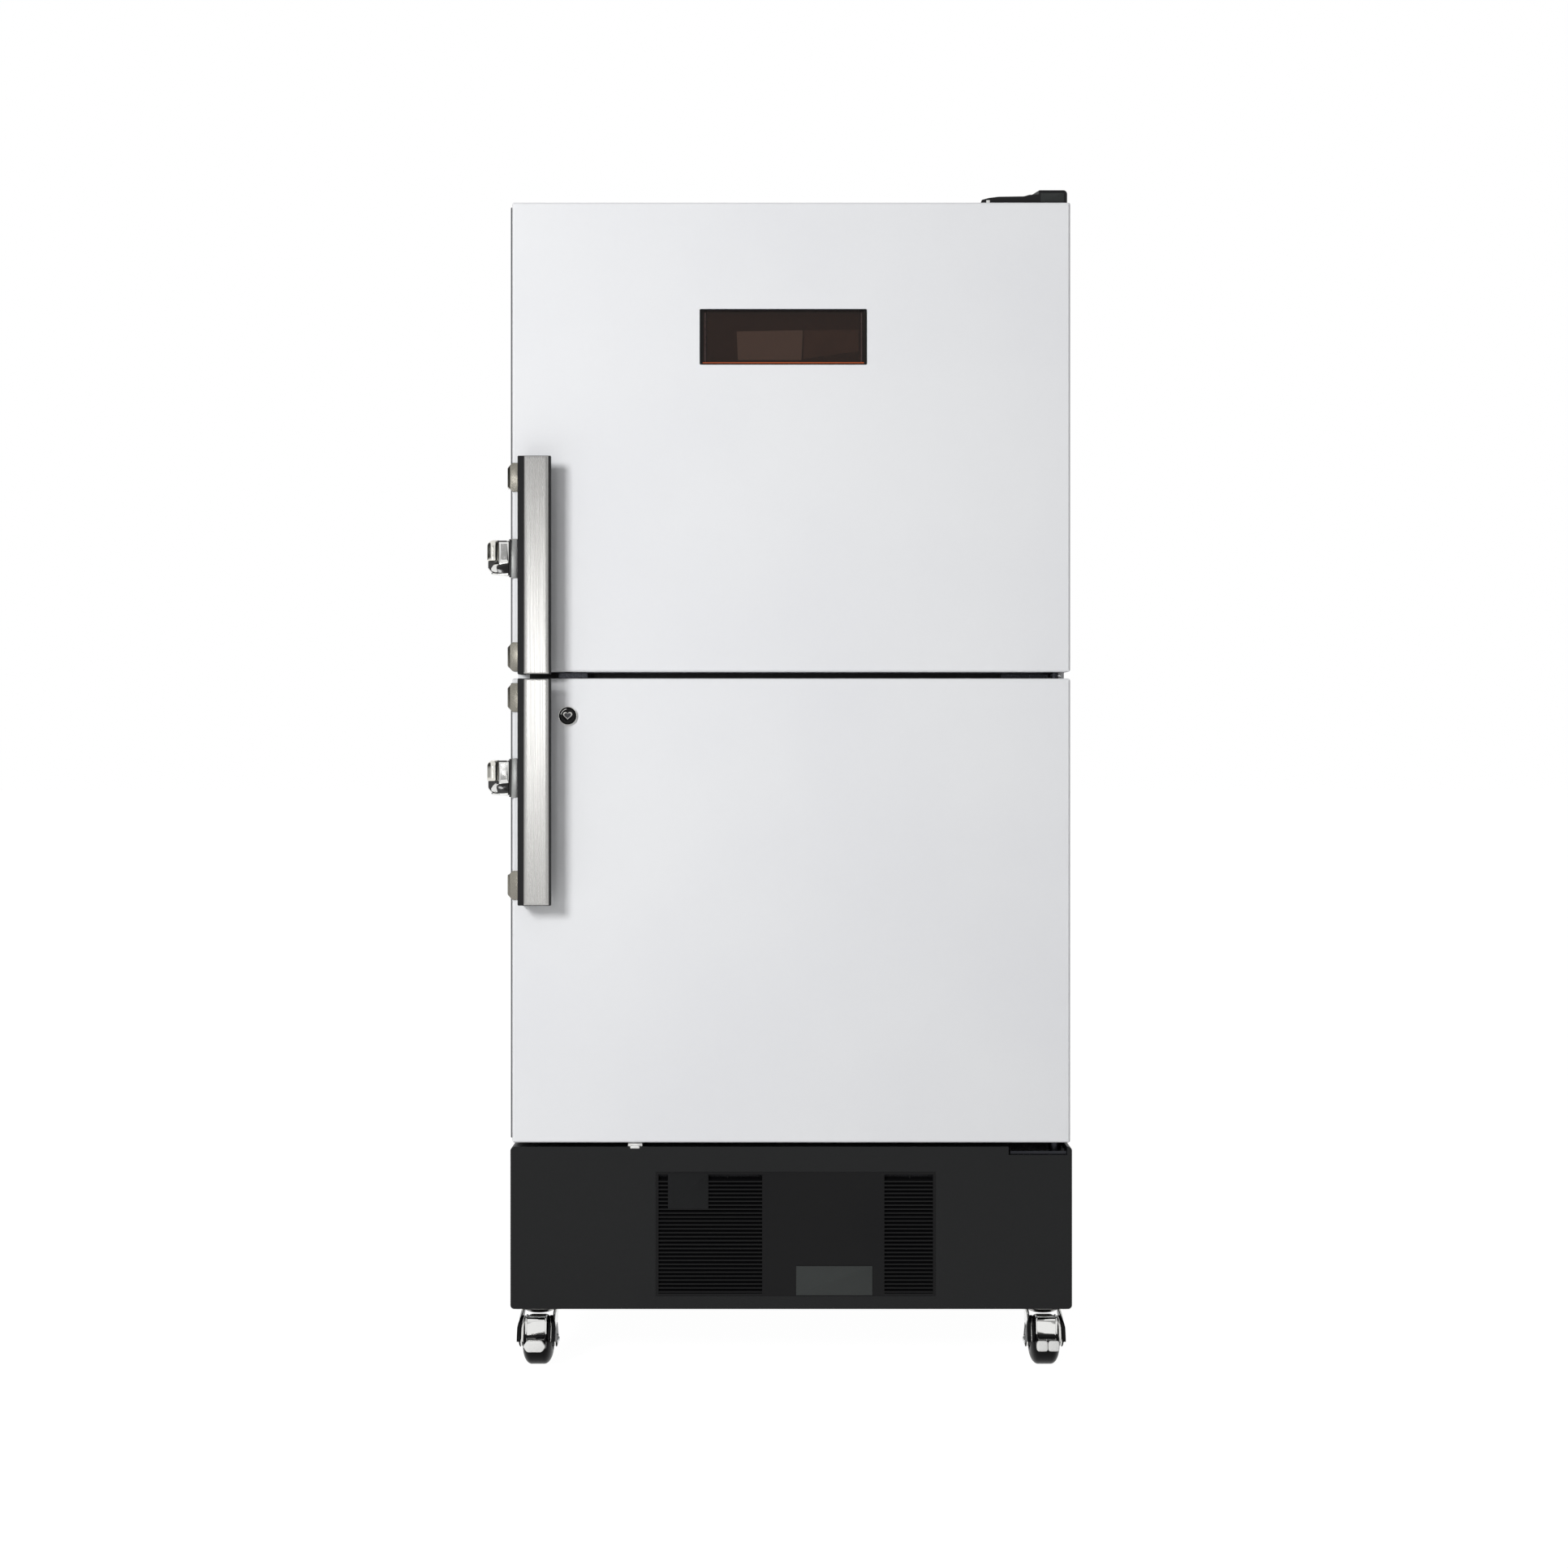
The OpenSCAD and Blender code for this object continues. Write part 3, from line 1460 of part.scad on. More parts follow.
duct_z1 = upper_room[1] - 14;
duct_z0 = duct_z1 - duct_h;
evap_z = duct_z1 - 90;
evap_y = duct_y0 + 18;

module air_duct() {
    half_w = room_w / 2 - duct_side;
    wall = 2;
    color("whitesmoke") in_place() {
        difference() {
            block([-half_w, duct_y0, duct_z0], [half_w, room_d, duct_z1]);
            block([-half_w + wall, duct_y0 + wall, duct_z0 + wall], [half_w - wall, room_d + 1, duct_z1 - wall]);
            difference() {
                bar_y(0, evap_z, evap_fan_r + 4, duct_y0 - 1, duct_y0 + wall + 1);
                // guard over the fan's mouth
                for (r = [20, 38]) {
                    difference() {
                        bar_y(0, evap_z, r + 1.5, duct_y0 - 1, duct_y0 + wall + 1);
                        bar_y(0, evap_z, r - 1.5, duct_y0 - 2, duct_y0 + wall + 2);
                    }
                }
                translate([0, 0, evap_z]) crossed_arms(evap_fan_r + 6, 4, duct_y0 - 1, duct_y0 + wall + 1);
            }
            for (x = [-half_w + 40 : 40 : half_w - 70]) {
                block([x, duct_y0 - 1, duct_z0 + 20], [x + 28, duct_y0 + wall + 1, duct_z0 + 30]);
                block([x, duct_y0 - 1, duct_z0 + 40], [x + 28, duct_y0 + wall + 1, duct_z0 + 50]);
            }
        }
        // fan motor with its shaft
        bar_y(0, evap_z, 20, evap_y + 14, room_d);
        bar_y(0, evap_z, 3, evap_y - 6, evap_y + 15);
    }
}

module evaporator_coil() {
    half_w = room_w / 2 - duct_side - 70;
    coil_d = 42;
    coil_z = duct_z0 + 90;
    coil_h = 140;
    color("silver") in_place()
        fin_block([-half_w, room_d - coil_d, coil_z], [half_w, room_d, coil_z + coil_h], 14, 5, 4.5);
}

module evaporator_fan() {
    color([0.2, 0.2, 0.2]) in_place() translate([0, evap_y, evap_z])
        fan_wheel(evap_fan_r, 15, 14, 5, 30);
}

module interior_light() {
    z1 = upper_room[1];
    color("white") in_place() {
        difference() {
            block([-160, 70, z1 - 14], [160, 112, z1]);
            block([-156, 74, z1 - 15], [156, 108, z1 - 3]);
        }
        block([-155, 75, z1 - 12], [155, 107, z1 - 9]);
        for (x = [-100, 100]) {
            block([x, 86, z1 - 9], [x + 6, 96, z1 - 3]);
        }
    }
}

outer_shell();
cabinet_foam();
upper_liner();
lower_liner();
front_frame();
base_pan();
base_front();
louvre_grille();
air_filter();
condenser_unit();
compressors();
rear_cover();
power_inlet();
electronics_box();
top_hinge_bracket();
hinge_cover();
middle_hinge_bracket();
lower_hinge_bracket();
door_keepers();
caster_plates();
wire_shelves();
shelf_supports();
air_duct();
evaporator_coil();
interior_light();
test_port_sleeve();
upper_door_skin();
upper_door_foam();
upper_door_liner();
upper_door_seal();
upper_handle_front();
upper_handle_channel();
upper_handle_brackets();
upper_latch_base();
display_housing();
display_window();
lower_door_skin();
lower_door_foam();
lower_door_liner();
lower_door_seal();
lower_handle_front();
lower_handle_channel();
lower_handle_brackets();
lower_latch_base();
lock_barrel();
lock_cylinder();
upper_latch_lever();
lower_latch_lever();
condenser_fan();
evaporator_fan();
front_left_fork();
front_right_fork();
rear_left_fork();
rear_right_fork();
front_left_wheel();
front_right_wheel();
rear_left_wheel();
rear_right_wheel();
left_brake_pedal();
right_brake_pedal();
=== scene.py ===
"""Looks of the laboratory refrigerator freezer: finishes, fine pieces, light and camera.

Sizes are millimetres about the cabinet: x runs across from its mid-plane, y runs back from the plane
that the door seals close on, and z is the height above the floor.
"""
import logging
import math
from dataclasses import dataclass
from enum import Enum
from typing import Any, Sequence

import bmesh
import bpy
import numpy as np
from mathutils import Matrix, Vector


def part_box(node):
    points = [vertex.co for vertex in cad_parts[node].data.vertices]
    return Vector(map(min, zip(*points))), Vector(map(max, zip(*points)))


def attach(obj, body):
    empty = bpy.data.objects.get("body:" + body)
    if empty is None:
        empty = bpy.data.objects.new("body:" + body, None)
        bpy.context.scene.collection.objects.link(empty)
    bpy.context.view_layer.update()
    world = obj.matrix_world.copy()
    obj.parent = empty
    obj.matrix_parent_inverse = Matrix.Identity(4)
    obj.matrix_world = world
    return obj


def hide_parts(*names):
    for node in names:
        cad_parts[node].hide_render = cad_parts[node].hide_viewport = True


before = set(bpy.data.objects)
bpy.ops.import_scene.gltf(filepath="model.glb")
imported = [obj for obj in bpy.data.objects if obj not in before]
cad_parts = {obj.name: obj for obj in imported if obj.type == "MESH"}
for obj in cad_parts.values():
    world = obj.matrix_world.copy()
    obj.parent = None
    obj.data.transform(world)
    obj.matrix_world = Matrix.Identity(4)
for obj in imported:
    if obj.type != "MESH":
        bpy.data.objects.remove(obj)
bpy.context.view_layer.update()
log = logging.getLogger("refrigerator_freezer")

MM = 0.001
SHELL_LOW, SHELL_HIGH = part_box("outer_shell")
# The cabinet's mid-plane and seal plane in the row frame
ORIGIN = np.array([(SHELL_LOW.x + SHELL_HIGH.x) / 2, SHELL_LOW.y, 0.0])


def node_box(node: str) -> tuple[np.ndarray, np.ndarray]:
    """Give a CAD node's corners about the cabinet.

    Args:
        node: the node's name.

    Returns:
        Its lowest and highest corner, in millimetres.
    """
    low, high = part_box(node)
    return (np.array(low) - ORIGIN) / MM, (np.array(high) - ORIGIN) / MM


class Axis(Enum):
    """Direction that an outline is carried along, as the order of its three coordinates."""

    X = (2, 0, 1)
    Y = (0, 2, 1)
    Z = (0, 1, 2)


class Grain(Enum):
    """Kind of fine relief on a finish."""

    PEEL = "peel"
    BRUSHED = "brushed"
    MOULDED = "moulded"
    CELLS = "cells"


def linear(hex_value: str) -> tuple[float, float, float, float]:
    """Turn an sRGB hex colour into linear light.

    Args:
        hex_value: six hex digits.

    Returns:
        Red, green, blue and alpha.
    """
    srgb = np.array([int(hex_value[i:i + 2], 16) for i in (0, 2, 4)]) / 255
    value = np.where(srgb <= 0.04045, srgb / 12.92, ((srgb + 0.055) / 1.055) ** 2.4)
    return (*value.tolist(), 1.0)


def add_node(
    tree: bpy.types.NodeTree,
    kind: str,
    settings: dict[str, Any] | None = None,
    inputs: dict[str | int, Any] | None = None,
) -> bpy.types.Node:
    """Add a node, set its properties, and set or link its inputs.

    Args:
        tree: the node tree.
        kind: the node's type, without its common prefix.
        settings: properties of the node by name.
        inputs: values or output sockets, by the input's name or number.

    Returns:
        The new node.
    """
    node = tree.nodes.new(f"ShaderNode{kind}")
    for name, value in (settings or {}).items():
        setattr(node, name, value)
    for name, value in (inputs or {}).items():
        if isinstance(value, bpy.types.NodeSocket):
            tree.links.new(value, node.inputs[name])
        else:
            node.inputs[name].default_value = value
    return node


def empty_material(name: str) -> tuple[bpy.types.Material, bpy.types.NodeTree]:
    """Make a material whose node tree is empty.

    Args:
        name: the material's name.

    Returns:
        The material and its node tree.
    """
    material = bpy.data.materials.new(name)
    material.use_nodes = True
    material.node_tree.nodes.clear()
    return material, material.node_tree


def placed(name: str, data: bpy.types.ID) -> bpy.types.Object:
    """Make an object and put it in the scene.

    Args:
        name: the object's name.
        data: its mesh, lamp or camera.

    Returns:
        The object.
    """
    obj = bpy.data.objects.new(name, data)
    bpy.context.scene.collection.objects.link(obj)
    return obj


@dataclass(frozen=True)
class Finish:
    """A finish with a fine relief, a cloudy tone and an uneven gloss; its lengths are real millimetres.

    Fields: material name; colour and its second tone; metallic; roughness and how much it varies; coat
    weight; kind, pitch and depth of the grain; scale of the grain along x, y and z; width of the cloudy
    tone's patches; strength of its own light; specular level.
    """

    name: str
    colour: str
    tone: str
    metallic: float = 0.0
    roughness: float = 0.4
    uneven: float = 0.06
    coat: float = 0.0
    grain: Grain = Grain.PEEL
    pitch: float = 2.0
    depth: float = 0.05
    stretch: tuple[float, float, float] = (1.0, 1.0, 1.0)
    cloud: float = 160.0
    glow: float = 0.0
    specular: float = 0.5

    def build(self) -> bpy.types.Material:
        """Make the material: noise or cells for the grain and gloss, larger noise for the tone.

        Returns:
            The material, made once and then shared.
        """
        known = bpy.data.materials.get(self.name)
        if known is not None:
            return known
        material, tree = empty_material(self.name)
        place = add_node(tree, "TexCoord").outputs["Object"]
        along = add_node(tree, "Mapping", None, {"Vector": place, "Scale": self.stretch})
        frequency = 1 / (self.pitch * MM)
        if self.grain is Grain.CELLS:
            relief = add_node(tree, "TexVoronoi", None,
                              {"Vector": along.outputs[0], "Scale": frequency}).outputs["Distance"]
        else:
            detail = {Grain.PEEL: 1.0, Grain.BRUSHED: 3.0, Grain.MOULDED: 4.0}[self.grain]
            noise = {"Vector": along.outputs[0], "Scale": frequency, "Detail": detail}
            relief = add_node(tree, "TexNoise", None, noise).outputs["Fac"]
        cloud = add_node(tree, "TexNoise", None,
                         {"Vector": place, "Scale": 1 / (self.cloud * MM), "Detail": 2.0}).outputs["Fac"]
        spread = add_node(tree, "MapRange", {"interpolation_type": "SMOOTHSTEP"},
                          {"Value": cloud, "From Min": 0.3, "From Max": 0.7})
        share = add_node(tree, "Math", {"operation": "MULTIPLY_ADD"},
                         {0: relief, 1: 0.35, 2: spread.outputs[0]})
        share.use_clamp = True
        colour = add_node(tree, "Mix", {"data_type": "RGBA"},
                          {"Factor": share.outputs[0], 6: linear(self.tone), 7: linear(self.colour)})
        gloss = add_node(tree, "MapRange", None, {
            "Value": relief, "From Min": 0.3, "From Max": 0.7,
            "To Min": max(self.roughness - self.uneven, 0.02), "To Max": self.roughness + self.uneven})
        bump = add_node(tree, "Bump", None,
                        {"Strength": 1.0, "Distance": self.depth * MM, "Height": relief})
        shader = add_node(tree, "BsdfPrincipled", None, {
            "Base Color": colour.outputs[2], "Metallic": self.metallic, "Roughness": gloss.outputs[0],
            "Coat Weight": self.coat, "Coat Roughness": 0.12, "Specular IOR Level": self.specular,
            "Normal": bump.outputs[0]})
        if self.glow > 0:
            shader.inputs["Emission Color"].default_value = linear(self.colour)
            shader.inputs["Emission Strength"].default_value = self.glow
        add_node(tree, "OutputMaterial", None, {"Surface": shader.outputs[0]})
        return material


@dataclass(frozen=True)
class Plastic(Finish):
    """A moulded plastic or rubber, with the fine grain of its mould."""

    grain: Grain = Grain.MOULDED


@dataclass(frozen=True)
class Metal(Finish):
    """A metal, or a part plated with one."""

    metallic: float = 1.0


@dataclass(frozen=True)
class TintedAcrylic:
    """Smoked acrylic: clear to light, dark brown, with a fine scuff on a glossy face."""

    name: str = "smoked_acrylic"
    colour: str = "5e4336"
    roughness: float = 0.04

    def build(self) -> bpy.types.Material:
        """Make the material: tinted transmission over a scuffed gloss.

        Returns:
            The material, made once and then shared.
        """
        known = bpy.data.materials.get(self.name)
        if known is not None:
            return known
        material, tree = empty_material(self.name)
        place = add_node(tree, "TexCoord").outputs["Object"]
        scuff = add_node(tree, "TexNoise", None, {"Vector": place, "Scale": 400.0, "Detail": 3.0})
        gloss = add_node(tree, "MapRange", None, {
            "Value": scuff.outputs["Fac"], "To Min": self.roughness * 0.6, "To Max": self.roughness * 1.6})
        shader = add_node(tree, "BsdfPrincipled", None, {
            "Base Color": linear(self.colour), "Roughness": gloss.outputs[0], "IOR": 1.49,
            "Transmission Weight": 0.9})
        add_node(tree, "OutputMaterial", None, {"Surface": shader.outputs[0]})
        return material


# Polyester powder coat: satin, with the soft waves that its curing leaves
WHITE_COAT = Finish("white_powder_coat", "ecedef", "e8e9ec", roughness=0.42, pitch=3.2, depth=0.035,
                    cloud=420)
# The same coat in black, a little coarser, on the base's sheet metal
BLACK_COAT = Finish("black_powder_coat", "0f1011", "0c0d0e", roughness=0.46, pitch=2.4, cloud=260,
                    specular=0.25)
# ABS as moulded, with a fine spark grain: frame, handle channels, hinge cover and inlet
BLACK_ABS = Plastic("black_moulded_abs", "111113", "0d0d0f", roughness=0.42, uneven=0.08, pitch=1.1,
                    depth=0.06, specular=0.26)
# The grille's slats take little light, so they read darker than the sheet round them: their darker colour is
# painted shade
GRILLE_ABS = Plastic("black_grille_abs", "0c0c0d", "08080a", roughness=0.5, pitch=1.4, specular=0.18)
# The raised bare plate on the grille and the hinge cover's face, greyer than the parts they lie on
PLATE_ABS = Plastic("grey_black_plate_abs", "313433", "2c2e2e", roughness=0.62, pitch=1.6, depth=0.04,
                    specular=0.34)
# The bare plate at the grille's upper left, almost as dark as the slats
PATCH_ABS = Plastic("dark_plate_abs", "101112", "0d0e0f", roughness=0.55, pitch=1.6, depth=0.04,
                    specular=0.19)
# Polished polycarbonate: display housing and frame; on the latches it paints the shade in the scoops and gaps
GLOSS_BLACK = Plastic("glossy_black_polycarbonate", "0c0c0d", "08080a", roughness=0.1, uneven=0.03,
                      coat=0.4, pitch=8, depth=0.01)
# HIPS sheet drawn into the liners: glossy, slightly wavy
LINER_HIPS = Finish("white_drawn_hips", "f1f1ee", "eaeae6", roughness=0.28, coat=0.15, pitch=9)
# Aluminium drawn, brushed along its length and clear anodised
ALUMINIUM = Metal("brushed_anodised_aluminium", "b4b3b1", "adacaa", roughness=0.27, uneven=0.03,
                  grain=Grain.BRUSHED, pitch=0.8, depth=0.0015, stretch=(1.0, 1.0, 0.004), cloud=900)
# Zinc cast into the handle brackets, tumbled to a satin face
SATIN_ZINC = Metal("satin_zinc_casting", "8f8c83", "827f77", roughness=0.26, grain=Grain.MOULDED,
                   pitch=0.8, depth=0.02)
# Bright plate over a casting whose long, faint waves stay visible
CHROME = Metal("polished_chrome_plate", "e3e3e1", "dbdbd9", roughness=0.07, uneven=0.03, pitch=12,
               depth=0.012)
# The same plate where fingers have dulled it
WORN_CHROME = Metal("worn_chrome_plate", "e2e0d8", "d8d6cf", roughness=0.2, uneven=0.03, pitch=12,
                    depth=0.01)
# Stainless sheet blasted grey: the latches' base plates
LATCH_PLATE = Metal("grey_blasted_stainless", "9c9d9c", "8f908f", roughness=0.3, uneven=0.04, pitch=0.8,
                    depth=0.01)
# Nickel plate with a soft sheen: the lock's ring and shutter, the casters' heads and strips
SATIN_NICKEL = Metal("satin_nickel_plate", "e6e5e2", "dbdad6", roughness=0.42, uneven=0.05, pitch=1.5,
                     depth=0.01)
# Clear passivated zinc on stamped steel and on screws
BRIGHT_ZINC = Metal("bright_zinc_plate", "dcdddd", "c6c8c9", roughness=0.16, uneven=0.07,
                    grain=Grain.BRUSHED, pitch=1.5, depth=0.015, stretch=(1.0, 1.0, 0.1))
# Zinc passivated black: middle and lower hinge, and the doors' keepers
DARK_ZINC = Metal("black_passivated_zinc", "35363a", "27282b", roughness=0.3, pitch=1.5, depth=0.02)
# Zinc passivated yellow, under the hinge cover
YELLOW_ZINC = Metal("yellow_zinc_plate", "b8a878", "9a8a5c", roughness=0.33, pitch=1.5)
# Steel brushed along its height: shelf rails, and the screws of rails and air duct
STAINLESS = Metal("brushed_stainless_steel", "c3c4c4", "aeb0b0", roughness=0.28, uneven=0.1,
                  grain=Grain.BRUSHED, pitch=0.5, depth=0.01, stretch=(1.0, 1.0, 0.01))
# Copper drawn into the refrigerant pipes
COPPER = Metal("drawn_copper_tube", "c98a63", "a86a48", roughness=0.3)
# Thermoplastic rubber of the casters' tyres, smooth from its mould
RUBBER = Plastic("black_thermoplastic_rubber", "08080a", "060608", roughness=0.3, pitch=1.8, depth=0.03,
                 specular=0.1)
# Glass-filled nylon: pedal arms and the lock's face, and black pieces on the casters' forks that paint their
# dark reflections
BLACK_NYLON = Plastic("black_glass_nylon", "060607", "040405", roughness=0.3, pitch=1.6, depth=0.02,
                      specular=0.12)
# Dark grey nylon of the wheel cores and the lock's flap
CORE_NYLON = Plastic("dark_grey_nylon", "3c3d40", "323336", roughness=0.42, pitch=1.2)
# Soft PVC drawn into the door seals
SEAL_VINYL = Plastic("grey_seal_vinyl", "4a4b4d", "3f4042", roughness=0.5, pitch=1.5, depth=0.04)
# Rigid polyurethane foam: closed cells about 1.5 mm wide where it is cut
FOAM = Finish("cut_polyurethane_foam", "dcc98c", "c4ac6a", roughness=0.85, grain=Grain.CELLS, pitch=1.5,
              depth=0.3, cloud=60)
# Open-cell foam of the air filter, with wider and deeper pores
FILTER_FOAM = Finish("open_cell_filter_foam", "26272a", "141416", roughness=0.9, grain=Grain.CELLS,
                     pitch=2.2, depth=0.8, cloud=50)
# Bare rolled aluminium of condenser and evaporator
FIN_ALUMINIUM = Metal("mill_aluminium_fins", "c2c5c7", "a9adb0", roughness=0.36, grain=Grain.BRUSHED,
                      pitch=0.7, depth=0.01, stretch=(1.0, 0.1, 1.0))
# Baked enamel on the compressors' cans
ENAMEL = Finish("black_baked_enamel", "161617", "101011", roughness=0.26, coat=0.3, pitch=5, depth=0.04)
# Grey paint on the electronics box
GREY_PAINT = Finish("grey_box_paint", "9a9c9e", "8c8e91", roughness=0.5)
# Epoxy coat on the shelves' wire; the two small white clips look the same
WIRE_COAT = Finish("white_epoxy_coat", "ececea", "e2e2df", roughness=0.32, coat=0.1, pitch=4)
# Polystyrene of the air duct
DUCT_PLASTIC = Plastic("white_moulded_polystyrene", "e9e9e5", "dfdfda", roughness=0.45, pitch=1.6,
                       depth=0.04)
# Nylon sleeve of the test port
PORT_NYLON = Plastic("light_grey_nylon", "c4c5c4", "b7b8b7", roughness=0.48, pitch=1.3, depth=0.04)
# Frosted cover of the interior light, lit from behind
DIFFUSER = Finish("frosted_light_cover", "fbf8ee", "f4f0e2", roughness=0.35, grain=Grain.CELLS, pitch=3,
                  depth=0.15, glow=0.6)
# Nylon of both fans
FAN_NYLON = Plastic("black_fan_nylon", "1c1d1f", "141517", roughness=0.5, pitch=1.2, depth=0.04)
# Lower cut edge of the display's window, which gathers light: its amber glow is painted light
AMBER_GLOW = Plastic("amber_lit_edge", "8a3a08", "6c2a05", pitch=4, depth=0.02, glow=0.22)
# The same window along its two upright cut edges, which take less light: their dark colour is painted shade
EDGE_RED = Plastic("shaded_acrylic_edge", "2a0c06", "200804", roughness=0.3, pitch=4, depth=0.02)
# Soft PVC strip on a door's handle side, matt and grey: its grey is painted shade, the dark line along the
# door's edge
EDGE_SHADE_STRIP = Plastic("grey_edge_shade_strip", "6c6d6f", "5f6062", roughness=0.6, pitch=1.5, depth=0.04)
# Film over the digits: they are off, and the faint glow of the film through the smoked window is painted
# light
WARM_PANEL = Plastic("digit_panel_painted_glow", "b4c8d4", "98aab4", roughness=0.5, pitch=3, depth=0.02,
                     cloud=60, glow=0.74)
# The plainer film to the right of it, with a dimmer painted glow
DARK_PANEL = Plastic("printed_panel_film", "b0b6b8", "5a5d5f", roughness=0.5, pitch=3, depth=0.02,
                     cloud=50, glow=0.22)
# Nylon of the brake pedals' pads: white, with a glossy coat
PEDAL_NYLON = Plastic("white_pedal_nylon", "f2f2f0", "e6e6e4", roughness=0.3, coat=0.3, depth=0.02)
# The display's window
SMOKED = TintedAcrylic()

# Side of cabinet and doors that the latches sit on
LATCH_SIDE = -425.0
LEVELS = ("upper", "lower")
ENDS = ("front", "rear")
SIDES = ("left", "right")
# CAD nodes by finish, those that a piece stands in for too
NODE_FINISHES: dict[Any, str] = {
    WHITE_COAT: "outer_shell upper_door_skin lower_door_skin",
    FOAM: "cabinet_foam upper_door_foam lower_door_foam",
    LINER_HIPS: "upper_liner lower_liner upper_door_liner lower_door_liner",
    BLACK_ABS: "front_frame power_inlet hinge_cover upper_handle_channel lower_handle_channel",
    BLACK_COAT: "base_pan base_front rear_cover",
    GRILLE_ABS: "louvre_grille",
    FILTER_FOAM: "air_filter",
    FIN_ALUMINIUM: "condenser_unit evaporator_coil",
    ENAMEL: "compressors",
    GREY_PAINT: "electronics_box",
    YELLOW_ZINC: "top_hinge_bracket",
    DARK_ZINC: "middle_hinge_bracket lower_hinge_bracket door_keepers",
    WIRE_COAT: "wire_shelves",
    STAINLESS: "shelf_supports",
    DUCT_PLASTIC: "air_duct",
    DIFFUSER: "interior_light",
    PORT_NYLON: "test_port_sleeve",
    SEAL_VINYL: "upper_door_seal lower_door_seal",
    ALUMINIUM: "upper_handle_front lower_handle_front",
    SATIN_ZINC: "upper_handle_brackets upper_latch_base lower_handle_brackets lower_latch_base",
    GLOSS_BLACK: "display_housing lock_cylinder",
    SMOKED: "display_window",
    CHROME: "lock_barrel upper_latch_lever lower_latch_lever",
    FAN_NYLON: "condenser_fan evaporator_fan",
    BRIGHT_ZINC: "caster_plates front_left_fork front_right_fork rear_left_fork rear_right_fork "
                 "left_brake_pedal right_brake_pedal",
    RUBBER: "front_left_wheel front_right_wheel rear_left_wheel rear_right_wheel",
}


@dataclass
class Surface:
    """Points in millimetres about the cabinet, and faces by point number."""

    points: np.ndarray
    faces: list[Sequence[int]]

    def moved(self, x: float = 0.0, y: float = 0.0, z: float = 0.0) -> "Surface":
        """Give the same surface moved by x, y and z."""
        return Surface(self.points + np.array([x, y, z]), self.faces)


def joined(parts: Sequence[Surface]) -> Surface:
    """Put several surfaces into one.

    Args:
        parts: the surfaces.

    Returns:
        One surface with all their faces.
    """
    starts = np.cumsum([0] + [len(part.points) for part in parts])
    faces = [[index + int(start) for index in face]
             for part, start in zip(parts, starts) for face in part.faces]
    return Surface(np.concatenate([part.points for part in parts]), faces)


def outward(surface: Surface) -> Surface:
    """Turn a closed surface so that its faces point out: its volume by the divergence sum is then positive.

    Args:
        surface: one closed surface.

    Returns:
        The same surface with its faces in the right order.
    """
    corners = [(face[0], face[i], face[i + 1]) for face in surface.faces for i in range(1, len(face) - 1)]
    a, b, c = (surface.points[np.array(corners)[:, i]] for i in range(3))
    volume = np.einsum("ij,ij->i", a, np.cross(b, c)).sum()
    if volume < 0:
        return Surface(surface.points, [list(reversed(face)) for face in surface.faces])
    return surface


def loft(rings: np.ndarray, ring_loop: bool = False) -> Surface:
    """Join rings of points: each face takes points j and j+1 of rings i and i+1.

    Args:
        rings: array of rings, points and coordinates.
        ring_loop: whether the last ring joins the first; else a face closes each of them.

    Returns:
        The surface, with its faces pointing out.
    """
    count, points = rings.shape[:2]
    i = np.arange(count if ring_loop else count - 1)[:, None]
    j = np.arange(points)[None, :]
    near, far, step = i * points, ((i + 1) % count) * points, (j + 1) % points
    quads = np.stack([near + j, near + step, far + step, far + j], -1)
    faces: list[Sequence[int]] = quads.reshape(-1, 4).tolist()
    if not ring_loop:
        faces.append(list(range(points))[::-1])
        faces.append(list(range((count - 1) * points, count * points)))
    return outward(Surface(rings.reshape(-1, 3), faces))


def rectangle(left: float, bottom: float, right: float, top: float) -> list[tuple[float, float]]:
    """Give a rectangle's corners, anticlockwise from the lower left one."""
    return [(left, bottom), (right, bottom), (right, top), (left, top)]


def softened(outline: Sequence[Sequence[float]], radius: float, steps: int = 5) -> np.ndarray:
    """Round an outline's corners: each corner becomes a parabola between points a radius away from it.

    Args:
        outline: corner points.
        radius: distance from a corner to the ends of its curve.
        steps: spans on each curve.

    Returns:
        The rounded outline.
    """
    corner = np.array(outline, float)
    to_last, to_next = np.roll(corner, 1, 0) - corner, np.roll(corner, -1, 0) - corner
    lengths = [np.linalg.norm(way, axis=1, keepdims=True) for way in (to_last, to_next)]
    start = corner + to_last / lengths[0] * np.minimum(radius, lengths[0] * 0.45)
    end = corner + to_next / lengths[1] * np.minimum(radius, lengths[1] * 0.45)
    t = np.linspace(0, 1, steps + 1)[None, :, None]
    curve = (1 - t) ** 2 * start[:, None] + 2 * t * (1 - t) * corner[:, None] + t ** 2 * end[:, None]
    return curve.reshape(-1, 2)


def inset(outline: np.ndarray, depth: np.ndarray) -> np.ndarray:
    """Shrink an outline by several depths: each point moves along the mean of its two edge normals.

    Args:
        outline: points that run anticlockwise.
        depth: the depths.

    Returns:
        One shrunk outline for each depth.
    """
    edge = np.roll(outline, -1, 0) - outline
    edge /= np.maximum(np.linalg.norm(edge, axis=1, keepdims=True), 1e-9)
    normal = np.stack([edge[:, 1], -edge[:, 0]], 1)
    last = np.roll(normal, 1, 0)
    mitre = (normal + last) / np.maximum(1 + (normal * last).sum(1, keepdims=True), 0.3)
    return outline[None] - depth[:, None, None] * mitre[None]


